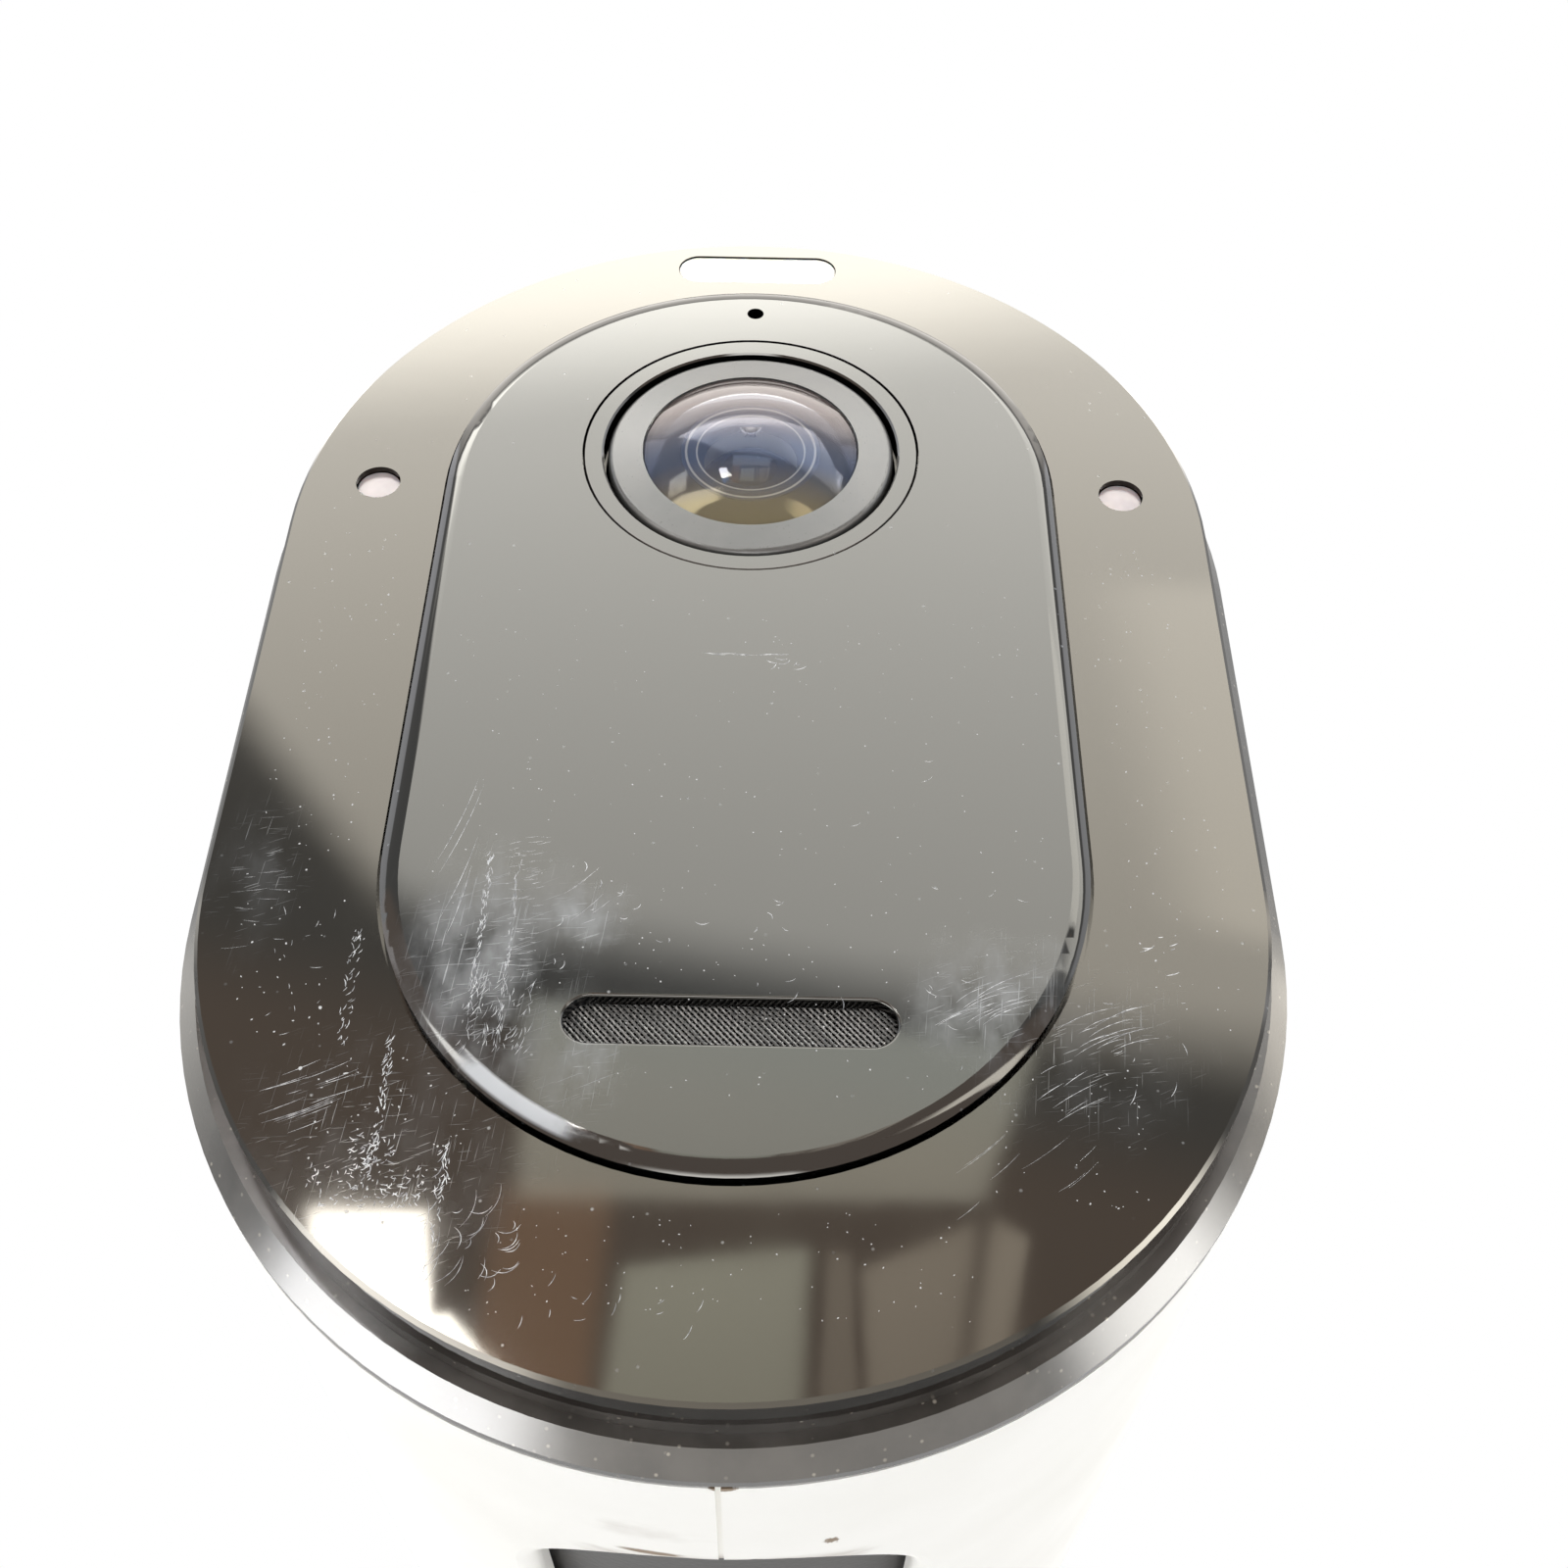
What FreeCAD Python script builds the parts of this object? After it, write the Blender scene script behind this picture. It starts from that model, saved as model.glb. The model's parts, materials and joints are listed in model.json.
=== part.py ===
# A wireless security camera: a white housing that slips off a black-faced core.
# Millimetres, +Z up, the face looks along -Y, and the origin is the mouth of the
# threaded mounting hole in the back. Every outline of the body is a stadium: a
# straight side along Z with a round end above and below.
import FreeCAD, Part
import math
import os

Vector = FreeCAD.Vector
X = Vector(1, 0, 0)
Y = Vector(0, 1, 0)
Z = Vector(0, 0, 1)

# The whole body
DEPTH = 89.0              # from the top of the cover glass to the back
HALF_WIDTH = 27.2         # widest, at the rim of the face
STRAIGHT = 12.0           # half of the straight side of every body outline
DISH_DEPTH = 3.4          # hollow in the back that takes a round magnetic holder
DISH_RADIUS = 30.0        # radius of that hollow's ball
FIT_GAP = 0.2             # between pieces that go into each other by hand
SEAT_GAP = 0.05           # between pieces that are assembled once and stay
PAST = 1.0                # how far a cut runs past the surface that it opens
PLAY = 0.4                # behind the end of a screw
NEAR = 0.1                # how near to a surface an edge counts as lying on it

# The face, measured from its front towards the back
PANEL_RAISE = 0.6         # the centre panel stands in front of the face plate
PLATE_THICK = 2.0
PLATE_MARGIN = 1.6        # from the edge of the plate to the edge of the rim
PLATE_BEVEL = 0.2
PANEL_THICK = 1.6
PANEL_MARGIN = 8.5        # from the side of the panel to the side of the plate
PANEL_STRAIGHT = 12.9
PANEL_LIFT = 2.2          # centre of the panel above the centre of the face
PANEL_ROLL = 0.9          # width of its rounded edge
PANEL_ROLL_DROP = 0.25
PANEL_GAP = 0.2
LEDGE_DEPTH = 3.1         # ledge behind the front of the plate
LEDGE_WIDTH = 0.6
RIM_DEPTH = 4.3           # edge of the flared rim behind the front of the plate
RIM_EDGE = 0.5            # thickness of the rim at its edge
RIM_GAP = 0.25            # shut line between rim and housing

# The housing
HOUSING_WALL = 2.0
HOUSING_DRAFT = 0.7       # degrees, narrower towards the back
CROWN_RADIUS = 75.0       # the back is slightly domed
CORNER_RADIUS = 15.0      # from the side into the back
SEAM_WIDTH = 0.25
SEAM_DEPTH = 0.3

# The opening in the underside and what shows through it
OPENING_START = 12.0      # behind the edge of the rim
OPENING_LENGTH = 25.0
OPENING_HALF_WIDTH = 9.4
OPENING_FLAT = 0.9        # half of the straight part of its front and back
OPENING_ROUND = 0.8       # rounded edge of the opening
PORT_LAP = 1.1            # the port plate reaches past the edge of the opening
PORT_THICK = 1.2
PORT_CLEARANCE = 0.34     # port plate to the inside of the housing
CHARGE_PIN_RADIUS = 1.0
CHARGE_PIN_PITCH = 3.0
CHARGE_PIN_COUNT = 4
CHARGE_BEFORE_SYNC = 10.4  # charging contacts before the sync button
PORT_MAGNET_RADIUS = 2.2
PORT_MAGNET_SPREAD = 4.4  # magnets before and behind the contacts
PORT_BOARD_HALF_WIDTH = 8.0
PORT_BOARD_THICK = 1.0
PORT_BOARD_HEIGHT = 2.95  # above the floor of the tray
PORT_POST_RADIUS = 1.2
PORT_POST_EDGE = 1.8      # posts in from the sides of the board
PORT_POST_INSET = 4.0     # rear posts before the main board

# The sync button in the port plate
SYNC_RADIUS = 2.4
SYNC_FLANGE = 0.7
SYNC_FLANGE_THICK = 0.8
SYNC_PROUD = 0.1
SYNC_TRAVEL = 0.6
SYNC_STEM_RADIUS = 1.2
SWITCH_SIZE = 5.0
SWITCH_GAP = 0.4          # switch before the main board
SWITCH_THICK = 1.5

# The bezel's skirt and the tray behind it
SKIRT_GAP = 0.4           # skirt to the inside of the housing
SKIRT_WALL = 1.4
SKIRT_LENGTH = 6.4
FRONT_WALL = 2.0          # wall of the bezel behind the face plate
SEAL_WIDTH = 2.0
SEAL_SETBACK = 1.0        # seal behind the rim
SEAL_GAP = 0.12           # seal to housing
SEAL_GROOVE = 0.5
TRAY_GAP = 0.58           # tray to the inside of the housing, at the tray's end
TRAY_WALL = 1.6
TRAY_END = 15.0           # the tray ends this far before the back
SPIGOT_LENGTH = 4.0
PARTITION_THICK = 1.6

# The main board and its screws
BOARD_THICK = 1.2
BOARD_EDGE_GAP = 1.6      # board to the wall of the tray
BOARD_TO_PARTITION = 3.4
BOARD_BEHIND_SENSOR = 14.0  # main board behind the sensor board
POST_RADIUS = 2.2
SCREW_RADIUS = 1.1
SCREW_HEAD_RADIUS = 2.0
SCREW_HEAD_THICK = 1.2
SCREW_LENGTH = 8.0
CORE_SCREW_INSET = 3.4    # from the inside of the tray
CORE_SCREW_TURN = 54.0    # degrees above the level of the end's centre
SHIELD_SIZE = (20.0, 3.2, 16.0)
SHIELD_DROP = 13.0        # middle of the shield below the flex cable
SPREADER_SIZE = (24.0, 0.8, 20.0)
RADIO_SIZE = (14.0, 2.4, 11.0)
RADIO_RISE = 12.6         # middle of the radio above the bottom of the board
ANTENNA_START = 2.0       # behind the skirt of the bezel
ANTENNA_THICK = 0.8
ANTENNA_LENGTH = 18.0
ANTENNA_HEIGHT = 22.0

# The lens and what lies behind it, on one axis
LENS_DROP = 14.45         # lens axis below the top of the centre panel
TRIM_OUTER = 9.6
TRIM_INNER = 8.45
TRIM_SETBACK = 0.04       # trim ring behind the centre panel
TRIM_CHAMFER = 0.1
LENS_BEZEL_RADIUS = 8.2
LENS_BEZEL_RAISE = 0.05   # its inner edge in front of the centre panel
LENS_BEZEL_SLOPE = 0.2    # its outer edge behind the inner one
LENS_BEZEL_EDGE = 0.35    # radius of its rounded outer edge
GLASS_RADIUS = 6.15
GLASS_THICK = 1.3
GLASS_DOME = 12.0         # radius of the glass front
GLASS_RIM = 1.2           # height of its straight edge
GLASS_SETBACK = 0.1       # edge of the dome behind the front of the bezel
BARREL_RADIUS = 6.8
BARREL_LENGTH = 15.6
BARREL_MOUTH = 5.6
LENS_STOP = 0.4           # ledge in the barrel that a lens sits on
RETAINER_OUTER = 3.8
RETAINER_INNER = 2.9
RETAINER_THICK = 0.7
RETAINER_LIP = 0.3
RETAINER_RISE = 0.6       # retaining ring inside the dome of the glass
INNER_LENS_THICK = 2.6
SMALL_DOME = 3.6          # radius of the small lenses' domes
REAR_LENS_THICK = 2.4
HOLDER_HALF = 8.5
HOLDER_THICK = 5.0
HOLDER_FLOOR = 0.4        # behind the barrel
HOLDER_APERTURE = 3.1
HOLDER_SCREW_REACH = 7.0
HOLDER_SCREW_RADIUS = 0.8
HOLDER_SCREW_BITE = 3.6   # its end in front of the holder
HOLDER_HEAD_RADIUS = 1.3
HOLDER_HEAD_THICK = 0.9
HOLDER_POST_RADIUS = 1.4

# The filter changer between lens and sensor
FILTER_TRAVEL = 6.2
FILTER_HALF_WIDTH = 12.0
FILTER_HALF_HEIGHT = 5.5
FILTER_THICK = 4.8
FILTER_WALL = 1.0
FILTER_PLAY = 0.2
FILTER_GLASS = 5.4
FILTER_BORDER = 1.3
APERTURE_RADIUS = 2.6
COIL_RADIUS = 1.6
COIL_LENGTH = 9.0
COIL_PIN_RADIUS = 1.2
COIL_PIN_LENGTH = 1.0

# Sensor board
SENSOR_SIZE = (7.6, 0.8, 6.4)
SENSOR_BOARD_HALF_WIDTH = 10.0
SENSOR_BOARD_HALF_HEIGHT = 7.2
SENSOR_BOARD_THICK = 1.0
CONNECTOR_SIZE = (8.0, 1.0, 2.4)
FLEX_HALF_WIDTH = 3.4
FLEX_THICK = 0.3
FLEX_BULGE = 1.2

# Lights, microphone and motion sensor
SPOT_DROP = 2.6           # window below the top of the face plate
SPOT_HALF_LENGTH = 4.9
SPOT_HALF_HEIGHT = 1.25
SPOT_SETBACK = 0.1        # window behind the face plate
SPOT_LED_SIZE = 1.6
SPOT_LED_PITCH = 3.0
SPOT_LED_COUNT = 3
SPOT_LED_DROP = 1.6       # LEDs below the middle of the window
LED_THICK = 0.8
TOP_BOARD_HALF_WIDTH = 6.6
TOP_BOARD_DROP = 0.6      # its top below the middle of the window
TOP_BOARD_REACH = 1.9     # its bottom below the microphone
TOP_BOARD_THICK = 0.8
TOP_POST_X = 5.2
TOP_POST_RISE = 1.1       # above the microphone
SMALL_POST_RADIUS = 1.1
MIC_DROP = 2.3            # below the top of the centre panel
MIC_HOLE = 0.5
MIC_SIZE = (3.8, 1.6, 3.0)
SIDE_WINDOW_MARGIN = 4.5  # from the side of the face plate
SIDE_WINDOW_DROP = 2.65   # below the lens axis
SIDE_WINDOW_RADIUS = 1.2
SIDE_WINDOW_SETBACK = 0.4
SIDE_LED_RADIUS = 1.0
SIDE_BOARD_SIZE = (3.6, 0.8, 3.6)
SIDE_BOARD_SHIFT = 0.7    # board nearer to the middle than its window
MOTION_Z = -1.6
MOTION_WINDOW = 4.2
MOTION_LENS_RADIUS = 5.0
MOTION_LENS_THICK = 0.7
MOTION_CAN_RADIUS = 4.1
MOTION_CAN_LENGTH = 4.2
MOTION_CAN_FLANGE = 0.5
MOTION_SETBACK = 2.8      # can behind the wall of the bezel
MOTION_BOARD_HALF_WIDTH = 8.2
MOTION_BOARD_HALF_HEIGHT = 4.6
MOTION_POST_X = 6.6

# Speaker behind the slot
SLOT_RISE = 7.65          # slot above the bottom of the centre panel
SLOT_HALF_LENGTH = 7.6
SLOT_HALF_HEIGHT = 1.2
SLOT_ROUND = 0.15         # rounded edge of the slot
MESH_BORDER = 0.7
MESH_THICK = 0.4
MESH_SETBACK = 0.75       # mesh behind the front of the panel
SPEAKER_RADIUS = 9.5
SPEAKER_DEPTH = 4.6
SPEAKER_WALL = 0.8
SPEAKER_RIM = 1.3
SPEAKER_BACK_RADIUS = 6.0
SPEAKER_HOLE = 2.6        # hole in the back of the frame
SPEAKER_MAGNET_RADIUS = 5.0
SPEAKER_MAGNET_THICK = 2.6
CONE_THICK = 0.4
CONE_BACK_RADIUS = 2.6
CONE_CLEARANCE = 0.3

# Battery
BATTERY_INSET = 1.0       # battery before the end of the tray
BATTERY_GAP = 0.3         # battery to the walls of the tray
BATTERY_FRONT_GAP = 0.4   # battery to the partition
BATTERY_FLOOR = 5.8       # flat underside above the housing's bottom, for the latch
BATTERY_WALL = 1.2
BATTERY_ROUND = 1.0
CELL_MARGIN = 4.9         # cells to the side of the battery
CELL_REACH = 9.0          # cells above and below the straight side
CELL_GAP = 0.15
CELL_ROUND = 3.0
CONTACT_PITCH = 6.0
CONTACT_COUNT = 3
CONTACT_Z = -14.0
CONTACT_RADIUS = 0.7
CONTACT_GAP = 0.2
TERMINAL_SIZE = (4.0, 5.0)

# Release button and latch in the bottom of the housing
BUTTON_HALF_LENGTH = 5.2
BUTTON_HALF_WIDTH = 3.3
BUTTON_PROUD = 0.4
BUTTON_FLANGE = 1.3
BUTTON_FLANGE_THICK = 0.8
BUTTON_SEAT = 1.4         # seat of the flange above the inside of the housing
BUTTON_BOSS_LAP = 2.8
NUB_RADIUS = 2.0
NUB_GAP = 0.1
LATCH_HEIGHT = 2.8        # underside of the spring above the inside of the housing
LATCH_HALF_WIDTH = 3.2
LATCH_THICK = 0.4
LATCH_BACK = -7.0
LATCH_BEHIND_OPENING = 4.0
LATCH_HOOK = 1.5
LATCH_PLAY = 0.3
LATCH_WINDOW = 2.4
WINDOW_EDGE = 1.0         # window in the tray wider than the spring on each side
LATCH_SCREW_Y = -10.8
LATCH_SCREW_BITE = 2.0
LATCH_BLOCK_HALF = 4.5
LATCH_BLOCK_FRONT = 3.5   # block before its screw
NOTCH_HALF_WIDTH = 11.0
NOTCH_GAP = 1.0           # notch before the seat of the button

# Mounting hardware in the back
INSERT_RADIUS = 4.2
INSERT_BORE = 2.6         # core of a quarter inch camera thread
INSERT_LENGTH = 8.0
INSERT_WALL = 2.4
INSERT_FLOOR = 0.8
BACK_PAD_RADIUS = 17.0
BACK_PAD_THICK = 2.6      # behind the deepest point of the dish
STEEL_RADIUS = 14.0
STEEL_THICK = 1.2

def sag(dome, radius):
    """How far a dome has fallen away at a distance from its axis."""
    return dome - math.sqrt(dome ** 2 - radius ** 2)


# Places that follow from the sizes above
back_y = DISH_DEPTH
glass_y = back_y - DEPTH
glass_edge = glass_y + sag(GLASS_DOME, GLASS_RADIUS)
glass_back = glass_edge + GLASS_RIM
lens_bezel_y = glass_edge - GLASS_SETBACK
panel_y = lens_bezel_y + LENS_BEZEL_RAISE
trim_y = panel_y + TRIM_SETBACK
plate_y = panel_y + PANEL_RAISE
plate_back = plate_y + PLATE_THICK
panel_back = panel_y + PANEL_THICK
mesh_y = panel_y + MESH_SETBACK
ledge_y = plate_y + LEDGE_DEPTH
rim_y = plate_y + RIM_DEPTH
rim_back = rim_y + RIM_EDGE
housing_front = rim_back + RIM_GAP
wall_back = plate_back + FRONT_WALL
skirt_end = rim_back + SKIRT_LENGTH
tray_end = back_y - TRAY_END

draft = math.tan(math.radians(HOUSING_DRAFT))
inner_front = HALF_WIDTH - HOUSING_WALL
plate_half = HALF_WIDTH - PLATE_MARGIN
ledge_half = plate_half + LEDGE_WIDTH
skirt_half = inner_front - SKIRT_GAP
skirt_inner = skirt_half - SKIRT_WALL
spigot_half = skirt_inner - FIT_GAP

panel_half = plate_half - PANEL_MARGIN
panel_top = PANEL_LIFT + PANEL_STRAIGHT + panel_half
panel_bottom = PANEL_LIFT - PANEL_STRAIGHT - panel_half
lens_z = panel_top - LENS_DROP
mic_z = panel_top - MIC_DROP
slot_z = panel_bottom + SLOT_RISE
spot_z = STRAIGHT + plate_half - SPOT_DROP
side_window_x = plate_half - SIDE_WINDOW_MARGIN
side_window_z = lens_z - SIDE_WINDOW_DROP

opening_start = rim_y + OPENING_START
opening_end = opening_start + OPENING_LENGTH
opening_y = (opening_start + opening_end) / 2


def inner_half(y):
    """Half the inside width of the housing at a depth y on its straight sides."""
    return inner_front - draft * (y - housing_front)


tray_half = inner_half(tray_end) - TRAY_GAP
tray_inner = tray_half - TRAY_WALL
tray_floor = -STRAIGHT - tray_inner
board_half = tray_inner - BOARD_EDGE_GAP
port_half = inner_half(opening_end) - PORT_CLEARANCE
port_inner = port_half - PORT_THICK
port_board_z = tray_floor + PORT_BOARD_HEIGHT

barrel_back = glass_back + BARREL_LENGTH
retainer_y = glass_back - RETAINER_RISE
holder_back = barrel_back + HOLDER_FLOOR
holder_front = holder_back - HOLDER_THICK
filter_back = holder_back + FILTER_THICK
sensor_board_back = filter_back + SENSOR_BOARD_THICK

# The sync button and the charging contacts keep before the main board, and the battery
# fills what is left between the partition and the end of the tray
board_front = sensor_board_back + BOARD_BEHIND_SENSOR
board_back = board_front + BOARD_THICK
sync_y = board_front - SWITCH_GAP - SWITCH_SIZE / 2
charge_y = sync_y - CHARGE_BEFORE_SYNC
partition_front = board_back + BOARD_TO_PARTITION
partition_back = partition_front + PARTITION_THICK
battery_front = partition_back + BATTERY_FRONT_GAP
battery_back = tray_end - BATTERY_INSET
battery_half = tray_inner - BATTERY_GAP

# The button lies halfway between the opening and the back of its latch
latch_front = opening_end + LATCH_BEHIND_OPENING
button_y = (opening_end + LATCH_BACK) / 2
notch_front = button_y - BUTTON_HALF_WIDTH - BUTTON_BOSS_LAP - NOTCH_GAP
button_inner = -STRAIGHT - inner_half(button_y)
button_outer = button_inner - HOUSING_WALL
button_seat = button_inner + BUTTON_SEAT
latch_z = button_inner + LATCH_HEIGHT
battery_floor = button_inner + BATTERY_FLOOR
insert_back = -INSERT_LENGTH


def at(point):
    """A point of a profile, given as distance from the axis and depth y."""
    return Vector(point[0], point[1], 0)


def profile_face(start, *steps):
    """A face in the XY plane. A step is a point, or a middle and an end of an arc."""
    edges = []
    here = start
    for step in steps:
        if isinstance(step[0], tuple):
            middle, end = step
            edges.append(Part.Arc(at(here), at(middle), at(end)).toShape())
        else:
            end = step
            edges.append(Part.LineSegment(at(here), at(end)).toShape())
        here = end
    edges.append(Part.LineSegment(at(here), at(start)).toShape())
    return Part.Face(Part.Wire(edges))


def stadium_body(face, straight=STRAIGHT, lift=0.0):
    """A profile carried along the straight sides and round both ends."""
    low = face.copy()
    low.translate(Z * (lift - straight))
    high = face.copy()
    high.translate(Z * (lift + straight))
    right = low.extrude(Z * (2 * straight))
    left = right.mirror(Vector(0, 0, 0), X)
    bottom = low.revolve(Z * (lift - straight), Y, 180)
    top = high.revolve(Z * (lift + straight), -Y, 180)
    return right.fuse([left, bottom, top]).removeSplitter()


def turned(face, x=0.0, z=0.0):
    """A profile turned right round an axis along Y."""
    moved = face.copy()
    moved.translate(Vector(x, 0, z))
    return moved.revolve(Vector(x, 0, z), Y, 360)


def pill(half_length, half_width, along, through, near, far, centre=Vector(0, 0, 0)):
    """A stadium, its length along one axis, extruded from near to far on another."""
    side = along.cross(through)
    base = centre + through * near
    run = along * (half_length - half_width)
    edge = side * half_width
    tip = along * half_length
    wire = Part.Wire([
        Part.Arc(base + run + edge, base + tip, base + run - edge).toShape(),
        Part.LineSegment(base + run - edge, base - run - edge).toShape(),
        Part.Arc(base - run - edge, base - tip, base - run + edge).toShape(),
        Part.LineSegment(base - run + edge, base + run + edge).toShape(),
    ])
    return Part.Face(wire).extrude(through * (far - near))


def stadium(half_width, near, far, straight=STRAIGHT, lift=0.0):
    """An upright stadium slab between two depths."""
    return pill(half_width + straight, half_width, Z, Y, near, far, Z * lift)


def disc(radius, near, far, x=0.0, z=0.0):
    return Part.makeCylinder(radius, far - near, Vector(x, near, z), Y)


def post(radius, low, high, x, y):
    return Part.makeCylinder(radius, high - low, Vector(x, y, low), Z)


def block(x0, x1, y0, y1, z0, z1):
    return Part.makeBox(x1 - x0, y1 - y0, z1 - z0, Vector(x0, y0, z0))


def centred_block(size, near, z, x=0.0):
    """A block of a given size whose front face lies at a depth near."""
    width, thick, height = size
    return block(x - width / 2, x + width / 2, near, near + thick, z - height / 2, z + height / 2)


def edges_along(shape, direction):
    """The straight edges of a shape that run along one axis."""
    return [edge for edge in shape.Edges
            if abs(edge.tangentAt(edge.FirstParameter).dot(direction)) > 0.999]


def both_sides(places):
    """Each place with its mirror image, once where it lies on the middle."""
    sides = []
    for x, z in places:
        sides.append((x, z))
        sides.append((-x, z))
    return sides


def spread(count, pitch):
    """Evenly spaced places about zero."""
    return [(i - (count - 1) / 2) * pitch for i in range(count)]


def core_screw_places():
    """Six places: halfway up each side, and on the round ends."""
    reach = tray_inner - CORE_SCREW_INSET
    across = reach * math.cos(math.radians(CORE_SCREW_TURN))
    up = STRAIGHT + reach * math.sin(math.radians(CORE_SCREW_TURN))
    return both_sides(((reach, 0), (across, up), (across, -up)))


# The housing and what is fixed in it

def housing_profile(inset):
    """Side, rounded corner and domed back of the housing, moved inwards by inset."""
    half = HALF_WIDTH - inset
    corner = CORNER_RADIUS - inset
    crown = CROWN_RADIUS - inset
    slant = math.sqrt(1 + draft ** 2)
    crown_y = back_y - CROWN_RADIUS
    reach = crown - corner
    # The corner's centre lies one radius inside the slanted side
    offset = half - corner * slant + draft * (housing_front - crown_y)
    a = 1 + draft ** 2
    b = -2 * draft * offset
    c = offset ** 2 - reach ** 2
    rise = (-b + math.sqrt(b ** 2 - 4 * a * c)) / (2 * a)
    centre_r = offset - draft * rise
    centre_y = crown_y + rise
    side_end = (centre_r + corner / slant, centre_y + corner * draft / slant)
    angle = math.atan2(rise, centre_r)
    start_angle = math.atan(draft)
    half_way = (angle + start_angle) / 2
    corner_middle = (centre_r + corner * math.cos(half_way), centre_y + corner * math.sin(half_way))
    corner_end = (centre_r + corner * math.cos(angle), centre_y + corner * math.sin(angle))
    crown_angle = (angle + math.pi / 2) / 2
    crown_middle = (crown * math.cos(crown_angle), crown_y + crown * math.sin(crown_angle))
    apex = (0, crown_y + crown)
    front = (half, housing_front)
    return front, side_end, (corner_middle, corner_end), (crown_middle, apex)


def housing_block(inset, front):
    """The solid inside the housing's surface, moved inwards by inset."""
    start, side_end, corner, crown = housing_profile(inset)
    start = (start[0] + draft * (housing_front - front), front)
    return stadium_body(profile_face((0, front), start, side_end, corner, crown))


def opening_block(grow, low, high):
    """The outline of the opening in the underside, grown all round."""
    half_width = OPENING_HALF_WIDTH + grow
    half_length = OPENING_LENGTH / 2 + grow
    body = block(-half_width, half_width, opening_y - half_length, opening_y + half_length, low, high)
    return body.makeFillet(half_width - OPENING_FLAT, edges_along(body, Z))


def make_housing():
    outer = housing_block(0, housing_front)
    inner = housing_block(HOUSING_WALL, housing_front - PAST)
    shell = outer.cut(inner)
    pad = disc(BACK_PAD_RADIUS, -BACK_PAD_THICK, back_y)
    boss = disc(INSERT_RADIUS + INSERT_WALL, insert_back - INSERT_WALL / 2, back_y)
    button_boss = block(
        -BUTTON_HALF_LENGTH - BUTTON_BOSS_LAP, BUTTON_HALF_LENGTH + BUTTON_BOSS_LAP,
        button_y - BUTTON_HALF_WIDTH - BUTTON_BOSS_LAP, button_y + BUTTON_HALF_WIDTH + BUTTON_BOSS_LAP,
        button_outer, button_seat)
    latch_block = block(
        -LATCH_BLOCK_HALF, LATCH_BLOCK_HALF,
        LATCH_SCREW_Y - LATCH_BLOCK_FRONT, LATCH_BACK,
        button_outer, latch_z)
    inside = [shape.common(outer) for shape in (pad, boss, button_boss, latch_block)]
    shell = shell.fuse(inside)
    dish = Part.makeSphere(DISH_RADIUS, Vector(0, DISH_RADIUS, 0))
    insert_hole = disc(INSERT_RADIUS + SEAT_GAP, insert_back, back_y)
    opening = opening_block(0, button_outer - PAST, tray_floor)
    button_hole = pill(BUTTON_HALF_LENGTH + FIT_GAP, BUTTON_HALF_WIDTH + FIT_GAP, X, Z,
                       button_outer - PAST, button_seat + PAST, Vector(0, button_y, 0))
    screw_hole = post(SCREW_RADIUS + SEAT_GAP, latch_z - LATCH_SCREW_BITE - FIT_GAP, latch_z + PAST,
                      0, LATCH_SCREW_Y)
    front_low = -STRAIGHT - HALF_WIDTH
    seam = block(-SEAM_WIDTH / 2, SEAM_WIDTH / 2, housing_front - PAST, opening_start + PAST,
                 front_low - PAST, front_low + SEAM_DEPTH)
    shell = shell.cut(opening)
    rim_edges = [edge for edge in shell.Edges if is_opening_edge(edge)]
    shell = shell.makeFillet(OPENING_ROUND, rim_edges)
    return shell.cut([dish, insert_hole, button_hole, screw_hole, seam]).removeSplitter()


def is_opening_edge(edge):
    """True for the outer edge of the opening in the underside."""
    middle = edge.valueAt((edge.FirstParameter + edge.LastParameter) / 2)
    reach = math.hypot(middle.x, middle.z + STRAIGHT)
    in_length = abs(middle.y - opening_y) < OPENING_LENGTH / 2 + NEAR
    in_width = abs(middle.x) < OPENING_HALF_WIDTH + NEAR
    outside = reach > inner_half(middle.y) + HOUSING_WALL - NEAR
    return middle.z < -STRAIGHT and in_length and in_width and outside


def make_mount_insert():
    body = disc(INSERT_RADIUS, insert_back, 0)
    return body.cut(disc(INSERT_BORE, insert_back + INSERT_FLOOR, PAST))


def make_steel_plate():
    body = disc(STEEL_RADIUS, -BACK_PAD_THICK - STEEL_THICK, -BACK_PAD_THICK)
    return body.cut(disc(INSERT_RADIUS + INSERT_WALL + SEAT_GAP, -BACK_PAD_THICK - 2 * STEEL_THICK, 0))


def make_release_button():
    centre = Vector(0, button_y, 0)
    stem = pill(BUTTON_HALF_LENGTH, BUTTON_HALF_WIDTH, X, Z, button_outer - BUTTON_PROUD,
                button_seat, centre)
    flange = pill(BUTTON_HALF_LENGTH + BUTTON_FLANGE, BUTTON_HALF_WIDTH + BUTTON_FLANGE, X, Z,
                  button_seat, button_seat + BUTTON_FLANGE_THICK, centre)
    nub = post(NUB_RADIUS, button_seat + BUTTON_FLANGE_THICK, latch_z - NUB_GAP, 0, button_y)
    face_edges = [edge for edge in stem.Edges if edge.BoundBox.ZMax < button_outer]
    stem = stem.makeFillet(BUTTON_PROUD, face_edges)
    return stem.fuse([flange, nub]).removeSplitter()


def make_latch_spring():
    strip = block(-LATCH_HALF_WIDTH, LATCH_HALF_WIDTH, latch_front, LATCH_BACK,
                  latch_z, latch_z + LATCH_THICK)
    hook = block(-LATCH_HALF_WIDTH, LATCH_HALF_WIDTH, latch_front, latch_front + LATCH_THICK,
                 latch_z - LATCH_HOOK, latch_z + LATCH_THICK)
    hole = post(SCREW_RADIUS + SEAT_GAP, latch_z - PAST, latch_z + PAST, 0, LATCH_SCREW_Y)
    return strip.fuse(hook).cut(hole).removeSplitter()


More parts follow.
